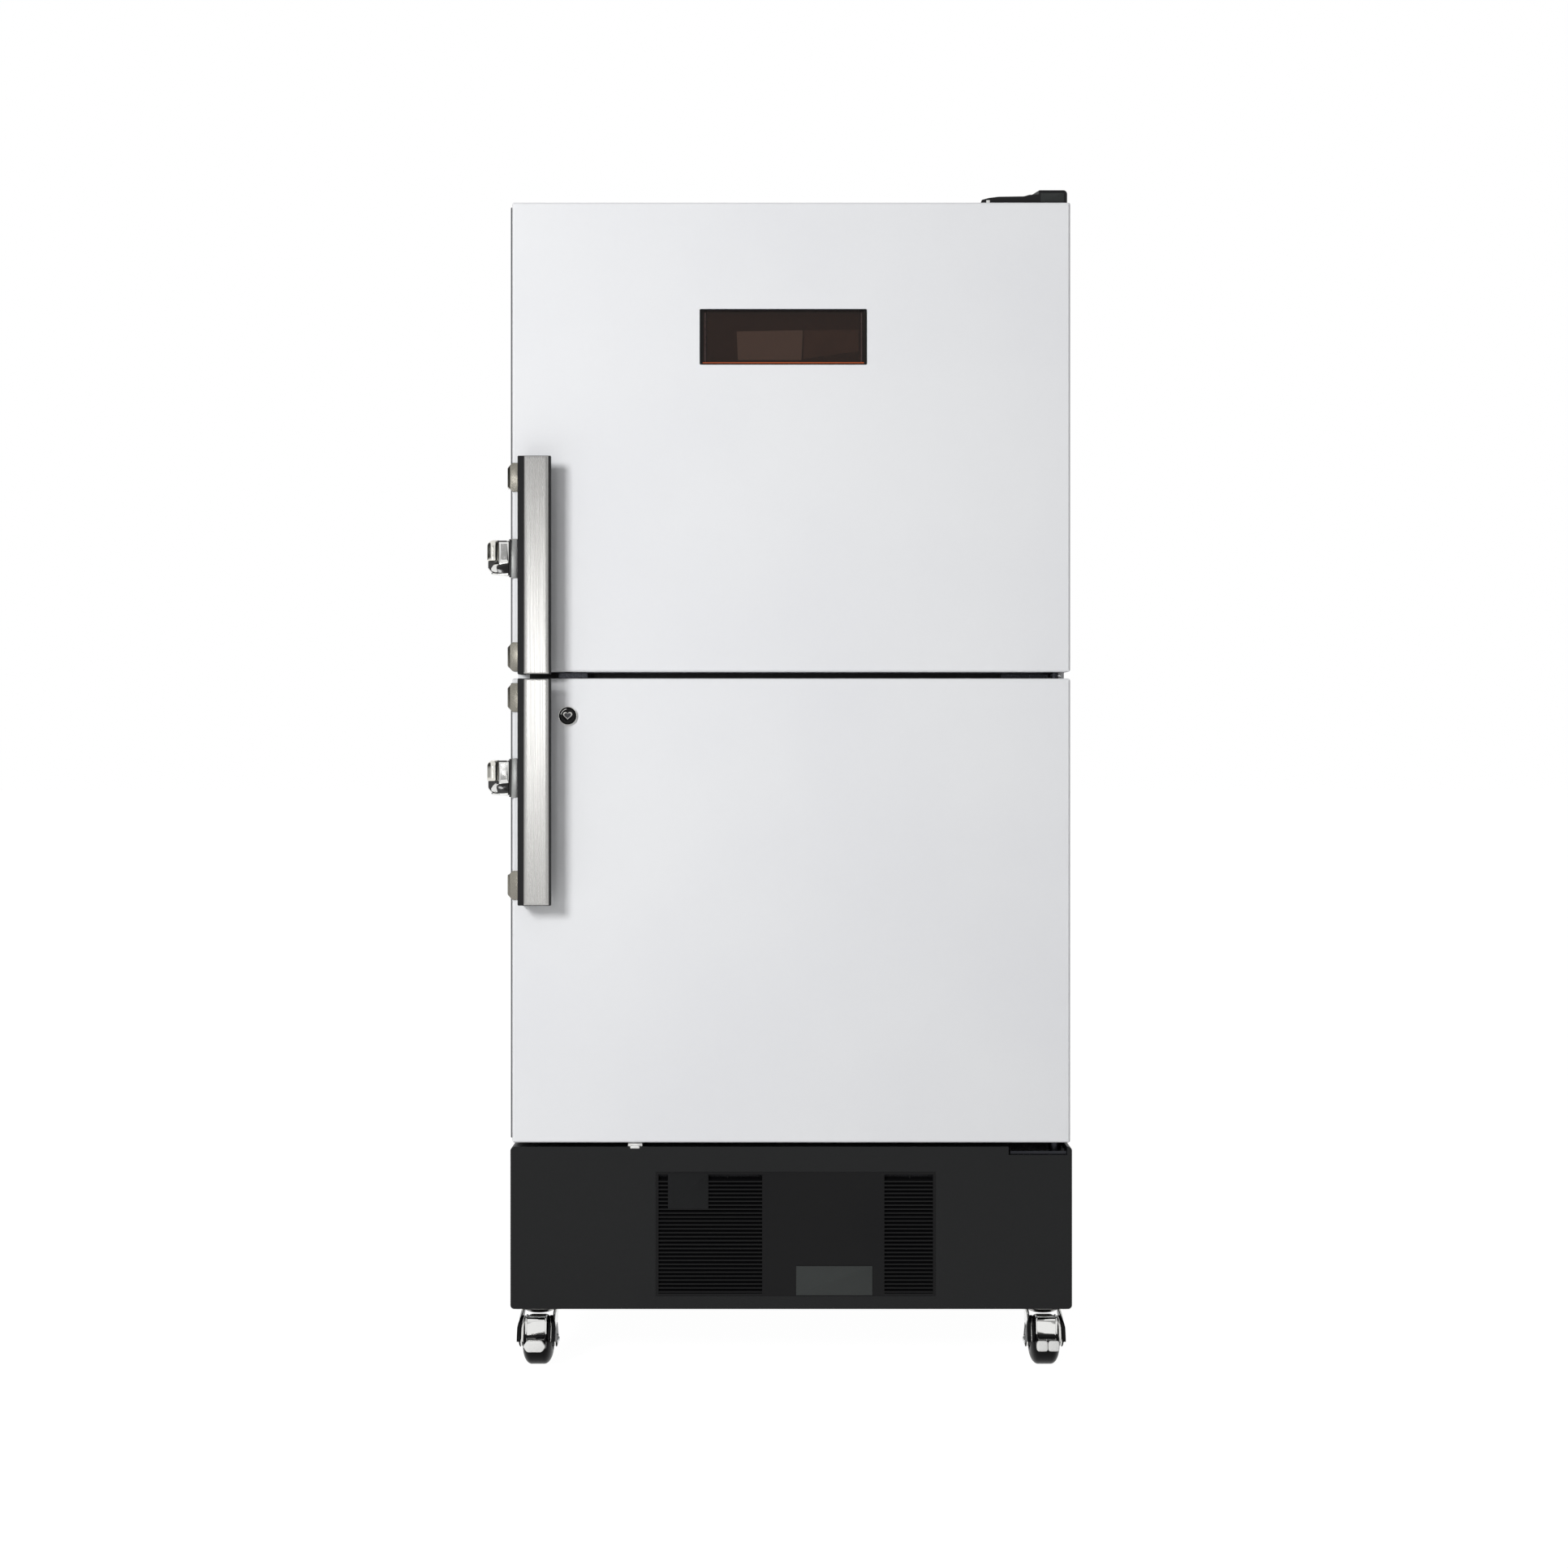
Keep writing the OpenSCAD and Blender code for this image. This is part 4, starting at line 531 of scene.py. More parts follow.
def prism(outline: np.ndarray, low: float, high: float, edge: float, axis: Axis, steps: int = 3,
          guard: float = 0.0) -> Surface:
    """Carry an outline from low to high, with its two ends rounded by quarter circles of radius edge.

    Args:
        outline: points that run anticlockwise.
        low: start of the carry.
        high: end of the carry.
        edge: radius of the end edges.
        axis: direction of the carry.
        steps: spans on each quarter circle.
        guard: distance of one more ring from each rounded end, which keeps a long face's shading flat.

    Returns:
        A closed surface.
    """
    area = (outline[:, 0] * np.roll(outline[:, 1], -1) - np.roll(outline[:, 0], -1) * outline[:, 1]).sum()
    flat = outline if area > 0 else outline[::-1]
    angle = np.linspace(0, math.pi / 2, steps + 1)
    depth = edge * (1 - np.sin(angle))
    rise = edge * (1 - np.cos(angle))
    if guard:
        depth, rise = np.append(depth, 0.0), np.append(rise, edge + guard)
    rings = np.concatenate([inset(flat, depth), inset(flat, depth[::-1])])
    height = np.concatenate([low + rise, high - rise[::-1]])
    solid = np.concatenate([rings, np.broadcast_to(height[:, None, None], rings.shape[:2] + (1,))], 2)
    return loft(solid[..., list(axis.value)])


def block(low: Sequence[float], high: Sequence[float], edge: float) -> Surface:
    """Make a box with all its edges rounded.

    Args:
        low: lowest corner.
        high: highest corner.
        edge: radius of the edges.

    Returns:
        A closed surface.
    """
    outline = softened(rectangle(low[0], low[2], high[0], high[2]), edge, 3)
    return prism(outline, low[1], high[1], edge * 0.8, Axis.Y, 2)


def bordered(outline: Sequence[Sequence[float]], profile: np.ndarray, depth: float) -> Surface:
    """Carry a profile round an upright outline, with mitred corners.

    Args:
        outline: x and z of points that run anticlockwise.
        profile: loop of points, each a distance inward from the outline and one back along y.
        depth: y of the profile's zero.

    Returns:
        A closed ring.
    """
    rings = inset(np.array(outline, float), profile[:, 0]).transpose(1, 0, 2)
    y = np.broadcast_to(depth + profile[None, :, 1:2], rings.shape[:2] + (1,))
    return loft(np.concatenate([rings[..., :1], y, rings[..., 1:]], -1), ring_loop=True)


def turned(profile: Sequence[Sequence[float]], centre: Sequence[float], axis: Axis, count: int = 32,
           ring: bool = False) -> Surface:
    """Turn a profile of radius and height about an axis: each ring has its points at equal angles.

    Args:
        profile: radius and height along the axis.
        centre: point on the axis at height 0.
        axis: the axis.
        count: points in each ring.
        ring: whether the profile is a closed loop.

    Returns:
        A closed surface.
    """
    line = np.array(profile, float)
    angle = np.linspace(0, 2 * math.pi, count, endpoint=False)
    radius = np.maximum(line[:, 0], 0.01)[:, None]
    rings = np.stack([radius * np.cos(angle), radius * np.sin(angle),
                      np.broadcast_to(line[:, 1:2], (len(line), count))], -1)
    return loft(rings[..., list(axis.value)] + np.array(centre), ring_loop=ring)


def arc(centre: Sequence[float], radius: float, start: float, end: float, steps: int) -> np.ndarray:
    """Give points on an arc of a circle.

    Args:
        centre: its centre.
        radius: its radius.
        start: first angle in degrees.
        end: last angle in degrees.
        steps: spans on the arc.

    Returns:
        The points.
    """
    angle = np.radians(np.linspace(start, end, steps + 1))
    return np.array(centre) + radius * np.stack([np.cos(angle), np.sin(angle)], 1)


def bent_tube(path: Sequence[Sequence[float]], radius: float, smooth: int = 8, sides: int = 12) -> Surface:
    """Carry a circle along a smooth curve through given points, square to the curve.

    Args:
        path: points that the tube's middle passes through.
        radius: radius of the tube.
        smooth: points on each span of the path.
        sides: points in each circle.

    Returns:
        A closed tube.
    """
    knots = np.array(path, float)
    ghost = np.concatenate([[2 * knots[0] - knots[1]], knots, [2 * knots[-1] - knots[-2]]])
    t = np.linspace(0, 1, smooth, endpoint=False)[None, :, None]
    a, b, c, d = (ghost[k:len(ghost) - 3 + k][:, None] for k in range(4))
    spine = 0.5 * (2 * b + (c - a) * t + (2 * a - 5 * b + 4 * c - d) * t ** 2
                   + (3 * b - a - 3 * c + d) * t ** 3)
    spine = np.concatenate([spine.reshape(-1, 3), knots[-1:]])
    way = np.gradient(spine, axis=0)
    way /= np.linalg.norm(way, axis=1, keepdims=True)
    side = np.cross(way, np.array([0.31, 0.17, 0.93]))
    side /= np.linalg.norm(side, axis=1, keepdims=True)
    up = np.cross(way, side)
    angle = np.linspace(0, 2 * math.pi, sides, endpoint=False)[None, :, None]
    return loft(spine[:, None] + radius * (np.cos(angle) * side[:, None] + np.sin(angle) * up[:, None]))


def screw_heads(centres: Sequence[Sequence[float]], axis: Axis, way: int, radius: float) -> Surface:
    """Make pan-head screws: a domed profile turned about each centre, with a round recess.

    Args:
        centres: points where the heads sit.
        axis: direction that the heads stand in.
        way: 1 or -1 along the axis.
        radius: radius of a head.

    Returns:
        All the heads.
    """
    height = radius * 0.6
    dome = [(radius, 0), (radius, height * 0.35), (radius * 0.8, height * 0.8), (radius * 0.5, height),
            (radius * 0.42, height * 0.45), (0, height * 0.4)]
    profile = [(r, way * h) for r, h in dome]
    return joined([turned([(0, 0)] + profile, centre, axis, 18) for centre in centres])


def piece(name: str, surface: Surface, finish: Any, body: str, replaces: Sequence[str] = (),
          sharp: float = 38) -> None:
    """Put a surface into a mesh object that rides on a body.

    Args:
        name: the piece's name.
        surface: its points and faces.
        finish: its finish.
        body: the body it rides on.
        replaces: CAD nodes that it stands for.
        sharp: angle in degrees from which an edge stays sharp.
    """
    mesh = bpy.data.meshes.new(name)
    mesh.from_pydata((surface.points * MM + ORIGIN).tolist(), [], surface.faces)
    mesh.validate()
    mesh.shade_smooth()
    mesh.set_sharp_from_angle(angle=math.radians(sharp))
    mesh.materials.append(finish.build())
    obj = placed(name, mesh)
    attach(obj, body)
    if replaces:
        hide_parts(*replaces)
    log.info("piece %s on %s: %d faces", name, body, len(mesh.polygons))


def eased_copy(name: str, node: str, finish: Any, body: str, edge: float) -> None:
    """Stand a copy of a CAD node in for it, with its sharp edges rounded by a bevel.

    Args:
        name: the piece's name.
        node: the CAD node.
        finish: its finish.
        body: the body it rides on.
        edge: width of the bevel in millimetres.
    """
    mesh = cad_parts[node].data.copy()
    mesh.name = name
    work = bmesh.new()
    work.from_mesh(mesh)
    bmesh.ops.remove_doubles(work, verts=work.verts, dist=1e-5)
    bmesh.ops.dissolve_limit(work, angle_limit=math.radians(0.5), verts=work.verts, edges=work.edges)
    work.to_mesh(mesh)
    work.free()
    mesh.materials.clear()
    mesh.materials.append(finish.build())
    mesh.shade_smooth()
    obj = placed(name, mesh)
    bevel = obj.modifiers.new("rounded_edges", "BEVEL")
    bevel.width = edge * MM
    bevel.segments = 3
    bevel.limit_method = "ANGLE"
    bevel.angle_limit = math.radians(32)
    bevel.harden_normals = True
    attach(obj, body)
    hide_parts(node)
    log.info("piece %s on %s from %s", name, body, node)


@dataclass
class Cabinet:
    """Insulated cabinet: finishes of all CAD nodes, screws, rivets, beads, pipes and the gap's clip.

    Fields: radius of the rear screws; x of the clip's middle.
    """

    screw: float = 4.0
    clip: float = -238.0

    def dress_nodes(self) -> None:
        """Give every CAD node its finish."""
        for finish, nodes in NODE_FINISHES.items():
            for node in nodes.split():
                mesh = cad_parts[node].data
                mesh.materials.clear()
                mesh.materials.append(finish.build())
                log.info("node %s in %s", node, finish.name)

    def gap_trim(self) -> Surface:
        """Make the white clip that shows in the gap between the lower door and the base."""
        x, front, top = self.clip, node_box("lower_door_skin")[0][1], node_box("base_front")[1][2]
        return joined([block((x - 11, front + 6, top - 3), (x + 11, front + 16, top + 4), 0.8),
                       block((x - 7, front - 0.6, top - 2.5), (x + 7, front + 8, top + 1.5), 0.6)])

    def rear_screws(self) -> Surface:
        """Make the screws along the rear cover's upper and lower edge."""
        low, high = node_box("rear_cover")
        across = np.linspace(low[0] + 14, high[0] - 14, 5)
        centres = [(x, high[1], z) for x in across for z in (low[2] + 12, high[2] - 12)]
        return screw_heads(centres, Axis.Y, 1, self.screw)

    def shell_rivets(self) -> Surface:
        """Make the rivets that hold the shell's back panel along its two sides."""
        low, high = node_box("outer_shell")
        dome = [(0, 0), (3.4, 0), (3.2, 0.7), (1.8, 1.3), (0, 1.4)]
        heights = np.linspace(low[2] + 60, high[2] - 60, 7)
        return joined([turned(dome, (x, high[1], z), Axis.Y, 14)
                       for x in (low[0] + 10, high[0] - 10) for z in heights])

    def rail_screws(self) -> Surface:
        """Make the screws that hold the shelf rails to the liners."""
        low, high = node_box("shelf_supports")
        depths, heights = (70, 470), (446, 966, 1145, 1668)
        return joined([screw_heads([(x, y, z) for y in depths for z in heights], Axis.X, way, 3.2)
                       for x, way in ((low[0] + 8, 1), (high[0] - 8, -1))])

    def side_seams(self) -> Surface:
        """Make the two pressed beads that stiffen each side of the base, low rounded strips."""
        low, high = node_box("base_pan")
        return joined([block((x - 0.5, y, low[2] + 30), (x + 0.5, y + 10, high[2] - 30), 0.45)
                       for x in (low[0], high[0]) for y in (60, 640)])

    def duct_screws(self) -> Surface:
        """Make the screws up both sides of the air duct."""
        low, high = node_box("air_duct")
        centres = [(x, low[1], z) for x in (low[0] + 14, high[0] - 14)
                   for z in (low[2] + 70, (low[2] + high[2]) / 2, high[2] - 14)]
        return screw_heads(centres, Axis.Y, -1, 3.6)

    def pipes(self) -> Surface:
        """Make the refrigerant pipes in the base: two copper tubes from the compressors to the condenser."""
        _, can_high = node_box("compressors")
        _, coil_high = node_box("condenser_unit")
        z = can_high[2] - 25
        tubes = []
        for way, aside, bend, end, drop in ((-1, 215, 205, 186, 40), (1, 232, 220, 200, 90)):
            foot = coil_high[2] - drop
            path = [(140, 470, z), (140, 470, z + 34), (190, 420, z + 40), (aside, 260, z + 20),
                    (aside, 90, z), (bend, -10, foot), (end, -38, foot)]
            tubes.append(bent_tube([(way * x, y, height) for x, y, height in path], 4))
        return joined(tubes)

    def build(self) -> None:
        """Put the cabinet's pieces together."""
        self.dress_nodes()
        piece("gap_clip", self.gap_trim(), WIRE_COAT, "cabinet")
        piece("rear_cover_screws", self.rear_screws(), BRIGHT_ZINC, "cabinet")
        piece("back_rivets", self.shell_rivets(), BRIGHT_ZINC, "cabinet")
        piece("rail_screws", self.rail_screws(), STAINLESS, "cabinet")
        piece("base_side_beads", self.side_seams(), BLACK_COAT, "cabinet")
        piece("duct_screws", self.duct_screws(), STAINLESS, "cabinet")
        piece("refrigerant_pipes", self.pipes(), COPPER, "cabinet")


@dataclass
class HingeCover:
    """Moulded cover over the top hinge: greyer front face, long low skirt, screws and a white clip.

    Fields: width of the cover's eased edges; place of the screw on the hinge between the doors.
    """

    edge: float = 1.6
    middle_screw: tuple[float, float, float] = (411.0, -57.5, 1056.3)

    def build(self) -> None:
        """Ease the cover's edges and add its small parts, and the screw of the hinge between the doors."""
        eased_copy("hinge_cover_shell", "hinge_cover", BLACK_ABS, "cabinet", self.edge)
        low, high = node_box("hinge_cover")
        left, front, base = low
        right, back, top = high
        face = block((right - 41, front - 0.4, base + 3.5), (right - 5, front + 0.6, top - 4.5), 0.9)
        piece("hinge_cover_face", face, PLATE_ABS, "cabinet")
        screws = screw_heads([(right - aside, back - 20, top - 0.2) for aside in (66, 22)], Axis.Z, 1, 4.0)
        piece("hinge_cover_screws", screws, BRIGHT_ZINC, "cabinet")
        outline = [(0.6, 0.2), (0.6, 7.0), (12, 10.2), (27, 12.0), (66, 12.6), (74, 15), (100, 16),
                   (100, 0.2)]
        corners = softened([(left + x, base + z) for x, z in outline], 1.6, 3)
        skirt = prism(corners, front + 0.2, front + 60, 0.8, Axis.Y)
        piece("hinge_cover_skirt", skirt, BLACK_ABS, "cabinet")
        screws = screw_heads([self.middle_screw], Axis.Y, -1, 2.6)
        piece("middle_hinge_screw", screws, BRIGHT_ZINC, "cabinet")
        tab = block((left + 8, front - 0.5, base + 1), (left + 13.5, front + 1.5, base + 6.5), 0.6)
        piece("hinge_cover_clip", tab, WIRE_COAT, "cabinet")


@dataclass
class MachineGrille:
    """Two bare plates on the louvred air grille, each by its left, lower, right and upper edge."""

    patch: tuple[float, float, float, float] = (-187.8, 244.6, -126.0, 298.6)
    plate: tuple[float, float, float, float] = (7.4, 112.6, 123.5, 157.0)

    def build(self) -> None:
        """Lay the two bare plates on the grille: their fronts stand 0.4 and 1.2 mm proud of it."""
        front = node_box("louvre_grille")[0][1]
        for name, edges, proud, back, edge, finish in (
                ("grille_patch", self.patch, 0.4, 1.4, 0.6, PATCH_ABS),
                ("grille_plate", self.plate, 1.2, 0.6, 0.7, PLATE_ABS)):
            left, bottom, right, top = edges
            plate = block((left, front - proud, bottom), (right, front + back, top), edge)
            piece(name, plate, finish, "cabinet")


@dataclass
class DoorLook:
    """One door's dressing: edge strip of painted shade, handle face, end plates and ribs, bracket screws,
    seal and panel beads.

    Fields: the door's level; radius of the handle bar's ends; how far the edge strip of painted shade stands
    out.
    """

    level: str
    bar_edge: float = 0.7
    strip_reach: float = 2.6

    @property
    def body(self) -> str:
        """Name of the door's body."""
        return f"{self.level}_door"

    def handle_front(self) -> Surface:
        """Make the aluminium front: a flat face, long edges rolled back 14 degrees, a deep left edge."""
        low, high = node_box(f"{self.level}_handle_front")
        across = np.linspace(low[0] + 2.4, high[0] - 2.4, 9)
        front = np.stack([across, np.full(9, low[1])], 1)
        roll = math.radians(14)
        rise = 2.0 * math.tan(roll)
        outline = np.concatenate([
            front, [(high[0] - 0.4, low[1] + rise), (high[0], low[1] + rise + 0.5), (high[0], low[1] + 3.5),
                    (low[0] + 2, low[1] + 3.5), (low[0] + 2, high[1]), (low[0], high[1]),
                    (low[0], low[1] + rise + 0.5), (low[0] + 0.4, low[1] + rise)]])
        return prism(outline, low[2], high[2], self.bar_edge, Axis.Z, guard=2.0)

    def handle_ends(self) -> Surface:
        """Make the plates that close the channel's two ends, 1.5 mm thick."""
        low, high = node_box(f"{self.level}_handle_channel")
        left, right, web = low[0] + 0.4, high[0] - 0.4, low[0] + 8.5
        front, lip, back = low[1] + 1, low[1] + 8, high[1] - 1
        outline = [(left, front), (right, front), (right, lip), (web, lip), (web, back), (left, back)]
        return joined([prism(softened(outline, 1), start, start + 1.5, 0.3, Axis.Z)
                       for start in (low[2] - 0.9, high[2] - 0.6)])

    def channel_beads(self) -> Surface:
        """Make the two fine ribs that run down the channel's web."""
        low, high = node_box(f"{self.level}_handle_channel")
        outlines = [arc((low[0] + 0.2, y), 0.7, 0, 360, 10)[:-1] for y in (low[1] + 12, low[1] + 30)]
        return joined([prism(outline, low[2] + 3, high[2] - 3, 0.3, Axis.Z) for outline in outlines])

    def bracket_screws(self) -> Surface:
        """Make two screws on the side of each end bracket."""
        low, high = node_box(f"{self.level}_handle_brackets")
        centres = [(low[0], low[1] + 24, z + dz) for z in (low[2] + 22, high[2] - 22) for dz in (-13, 13)]
        return screw_heads(centres, Axis.X, -1, 3.2)

    def seal(self) -> Surface:
        """Make the magnetic seal: a bellows profile carried round a rectangle with mitred corners.

        Returns:
            The seal as one closed ring.
        """
        low, high = node_box(f"{self.level}_door_seal")
        profile = np.array([
            (0, 0), (0, 2.4), (1.2, 3.0), (7.0, 3.2), (7.6, 4.2), (4.6, 5.2), (4.0, 6.2), (4.2, 9.2),
            (5.2, 9.9), (12, 9.98), (18.8, 9.9), (19.8, 9.2), (20.0, 6.2), (19.4, 5.2), (16.4, 4.2),
            (17.0, 3.2), (22.8, 3.0), (24, 2.4), (24, 0)])
        return bordered(rectangle(low[0], low[2], high[0], high[2]), profile, low[1])

    def plug_beads(self) -> Surface:
        """Make the two raised rectangular beads on the door's inner panel, half round in section."""
        low, high = node_box(f"{self.level}_door_liner")
        angle = np.linspace(0, math.pi, 7)
        profile = np.concatenate([np.stack([7 * np.cos(angle), 3.2 * np.sin(angle)], 1), [(0, -1.5)]])
        parts = []
        for margin in (120, 170):
            corners = rectangle(low[0] + margin, low[2] + margin, high[0] - margin, high[2] - margin)
            parts.append(bordered(softened(corners, 34, 8), profile, high[1]))
        return joined(parts)

    def edge_shade_strip(self) -> Surface:
        """Make the grey strip that paints the shade along the door's handle-side edge: a shallow bow carried
        up it.
        """
        low, high = node_box(f"{self.level}_door_skin")
        inner, outer, front = low[0] + 0.2, low[0] - self.strip_reach, low[1]
        outline = [(inner, front + 3.2), (inner, front + 40), (outer, front + 38), (outer, front + 5.5)]
        return prism(softened(outline, 1.6, 4), low[2] + 7, high[2] - 7, 1.2, Axis.Z)

    def build(self) -> None:
        """Put the door's pieces together."""
        name = self.level
        # The grey edge strip paints the shade along the door's handle-side edge
        piece(f"{name}_edge_shade_strip", self.edge_shade_strip(), EDGE_SHADE_STRIP, self.body)
        piece(f"{name}_handle_face", self.handle_front(), ALUMINIUM, self.body,
              [f"{name}_handle_front"])
        piece(f"{name}_handle_end_plates", self.handle_ends(), BLACK_ABS, self.body)
        piece(f"{name}_handle_ribs", self.channel_beads(), BLACK_ABS, self.body)
        eased_copy(f"{name}_handle_ends", f"{name}_handle_brackets", SATIN_ZINC, self.body,
                   1.4)
        piece(f"{name}_bracket_screws", self.bracket_screws(), CHROME, self.body)
        piece(f"{name}_bellows_seal", self.seal(), SEAL_VINYL, self.body, [f"{name}_door_seal"])
        piece(f"{name}_panel_beads", self.plug_beads(), LINER_HIPS, self.body)


@dataclass
class SideLatch:
    """Cast chrome latch on a door's side: round ridge, flat face, finger scoop, hook arm and base plate.

    Fields: the door's level; radius of the ridge; slope of the face's edges in degrees.
    """

    level: str
    ridge: float = 9.2
    face_slope: float = 12.0

    def corner(self) -> np.ndarray:
        """Give the lever's front top left corner."""
        low, high = node_box(f"{self.level}_latch_lever")
        return np.array([low[0], low[1], high[2]])

    def drawn(self, outline: Sequence[Sequence[float]], front: float, back: float, edge: float,
              soft: float) -> Surface:
        """Carry an outline given from the lever's top left corner, as a plate with rounded edges.

        Args:
            outline: x and z of its corners, in millimetres from that corner.
            front: depth of its front behind the ridge's crest.
            back: depth of its back.
            edge: radius of its front and back edges.
            soft: radius of its corners.

        Returns:
            A closed plate.
        """
        x, y, z = self.corner()
        return prism(softened(outline, soft, 4), front, back, edge, Axis.Y).moved(x, y, z)

    def body(self) -> Surface:
        """Make the casting behind the face, with its stepped outer edge and sloping foot."""
        return self.drawn([(0, -30.5), (1.4, -32.6), (1.4, -43.5), (7.5, -51.2), (29, -54), (33, -53),
                           (33, 0), (9, 0), (2.8, -2.8), (0, -9)], 8.2, 27, 1.2, 1.8)

    def round_ridge(self) -> Surface:
        """Make the upright ridge: a half circle carried up, whose outer half draws in to a round top.

        Returns:
            The closed ridge.
        """
        x, y, z = self.corner()
        r = self.ridge
        height = np.concatenate([[-31.4, -31.2, -30.6], np.linspace(-29.8, -r, 6),
                                 -r + r * np.sin(np.linspace(0.12, 1.5, 12))])
        dome = np.sqrt(np.clip(1 - ((height + r) / r) ** 2, 0.0, 1)) * (height > -r) + (height <= -r)
        foot = np.interp(height, [-31.4, -31.2, -30.6, -29.8], [0.86, 0.93, 0.98, 1.0])
        angle = np.linspace(math.pi, 0, 29)[None, :]
        left = (r * dome * foot)[:, None]
        reach = np.where(np.cos(angle) < 0, left, r * foot[:, None])
        depth = (r * np.maximum(dome, 0.35) * foot)[:, None]
        front = np.stack([x + r + reach * np.cos(angle), y + r + 0.2 - depth * np.sin(angle),
                          np.broadcast_to(z + height[:, None], reach.shape)], -1)
        back = front[:, [-1, 0]] + np.array([0.0, 1.6, 0.0])
        return loft(np.concatenate([front, back], 1))

    def flat_face(self) -> Surface:
        """Make the face beside the ridge: a plateau, shallow slopes on three sides, a foot that leans out."""
        x, y, z = self.corner()
        flat, slope = 5.0, math.tan(math.radians(self.face_slope))
        outer = np.array([(18.5, -2.8), (33.0, -2.8), (33.0, -33.8), (18.5, -35.6)])
        inner = np.array([(21.2, -5.4), (30.8, -5.4), (30.8, -29.4), (21.2, -29.8)])
        rise = flat + np.array([2.7 * slope, 0.8, -1.5, -1.5])
        rings = [np.column_stack([ring[:, 0], depth, ring[:, 1]])
                 for ring, depth in ((outer, np.full(4, 9.6)), (outer, rise), (inner, np.full(4, flat)))]
        return loft(np.array(rings)).moved(x, y, z)

    def lip(self) -> Surface:
        """Make the thin round lip under the finger scoop."""
        x, y, z = self.corner()
        path = [(x + 7.5, y + 8.6, z - 50.4), (x + 10, y + 7, z - 51.2), (x + 20, y + 6.6, z - 51.8),
                (x + 32, y + 6.6, z - 51.2)]
        return bent_tube(path, 1.5)

    def crescent(self) -> Surface:
        """Make the polished curve inside the scoop, which leans back toward its top."""
        plate = self.drawn([(9.3, -38.4), (11, -36.6), (19.1, -36), (15.6, -38.4), (14.5, -40.3),
                            (15.6, -45.2), (16.8, -48.3), (13.3, -48.9), (6.9, -46.5), (6.4, -42.7)],
                           3.6, 8.6, 0.3, 1.0)
        points = plate.points.copy()
        points[:, 1] += 0.27 * (points[:, 2] - points[:, 2].min())
        return Surface(points, plate.faces)

    def scoop(self) -> Surface:
        """Make the gloss black pieces that paint the shade in the finger scoop and along the top of the flat
        face.
        """
        scoop_shade = self.drawn([(1.9, -31.2), (18.2, -31.2), (18.6, -36.2), (24, -35), (32.8, -34.4),
                            (32.9, -49.6), (9.6, -50.4), (3.0, -43.4), (1.9, -41)], 7.5, 9.4, 0.4, 1.2)
        strip = self.drawn([(18.5, -3.1), (30.2, -3.1), (30.2, -0.5), (16.0, -0.5)], 5.9, 9.4, 0.3, 0.5)
        return joined([scoop_shade, strip])

    def hook_arm(self) -> Surface:
        """Make the arm that runs back from the casting and drops behind the keeper's post."""
        low, high = node_box(f"{self.level}_latch_lever")
        z = (low[2] + high[2]) / 2
        base_low, _ = node_box(f"{self.level}_latch_base")
        # Depths of the lever's stud and of the keeper's post, and how far out the arm's middle stands
        pivot, post, side = base_low[1] + 25, 28.0, LATCH_SIDE - 16
        outline = softened([
            (pivot - 16, z + 15), (pivot + 20, z + 8), (pivot + 40, z + 1.9), (post + 6.5, z + 1.9),
            (post + 6.5, z + 5.7), (post + 12.3, z + 4.8), (post + 15.2, z - 3), (post + 9.5, z - 10),
            (pivot + 20, z - 12), (pivot - 14, z - 14)], 3.2, 5)
        arm = prism(outline, side - 4, side + 4, 1.3, Axis.X)
        boss = turned([(0, 0), (10.5, 0), (11.5, 1), (11.5, 12), (10.5, 13.2), (0, 13.2)],
                      (side - 1.6, pivot, z + 8), Axis.X, 36)
        cap = turned([(0, 0), (7.2, 0), (7.2, -1.0), (5.6, -2.4), (2.5, -3.0), (0, -3.1)],
                     (side - 13.6, pivot, z + 8), Axis.X, 28)
        link = block((low[0] + 4, low[1] + 24, z - 16), (high[0] - 0.5, pivot + 12, z + 17), 3.5)
        return joined([arm, boss, cap, link])

    def plate_screws(self) -> Surface:
        """Make the screws on the base plate's side, above and below the lever."""
        low, high = node_box(f"{self.level}_latch_base")
        centres = [(LATCH_SIDE - 2, low[1] + 58, z) for z in (low[2] + 9, high[2] - 9)]
        return screw_heads(centres, Axis.X, -1, 3.4)

    def build(self) -> None:
        """Put the latch's pieces together."""
        name, lever, door = f"{self.level}_latch", f"{self.level}_latch_lever", f"{self.level}_door"
        casting = joined([self.body(), self.lip(), self.hook_arm()])
        piece(f"{name}_casting", casting, CHROME, lever, [lever], sharp=50)
        piece(f"{name}_ridge", self.round_ridge(), WORN_CHROME, lever, sharp=50)
        piece(f"{name}_face", self.flat_face(), CHROME, lever, sharp=8)
        piece(f"{name}_crescent", self.crescent(), CHROME, lever)
        # Gloss black pieces paint the shade in the finger scoop and along the flat face's top
        piece(f"{name}_inlay", self.scoop(), GLOSS_BLACK, lever)
        _, high = node_box(lever)
        low, top = node_box(f"{name}_base")
        # A gloss black block paints the shade in the gap between the lever and the door's side
        gap_shade = block((high[0] + 0.3, low[1] - 5, low[2] + 1), (LATCH_SIDE - 1, low[1] + 0.4, top[2] - 1),
                       0.6)
        piece(f"{name}_spacer", gap_shade, GLOSS_BLACK, door)
        eased_copy(f"{name}_plate", f"{name}_base", LATCH_PLATE, door, 0.7)
        piece(f"{name}_screws", self.plate_screws(), CHROME, door)


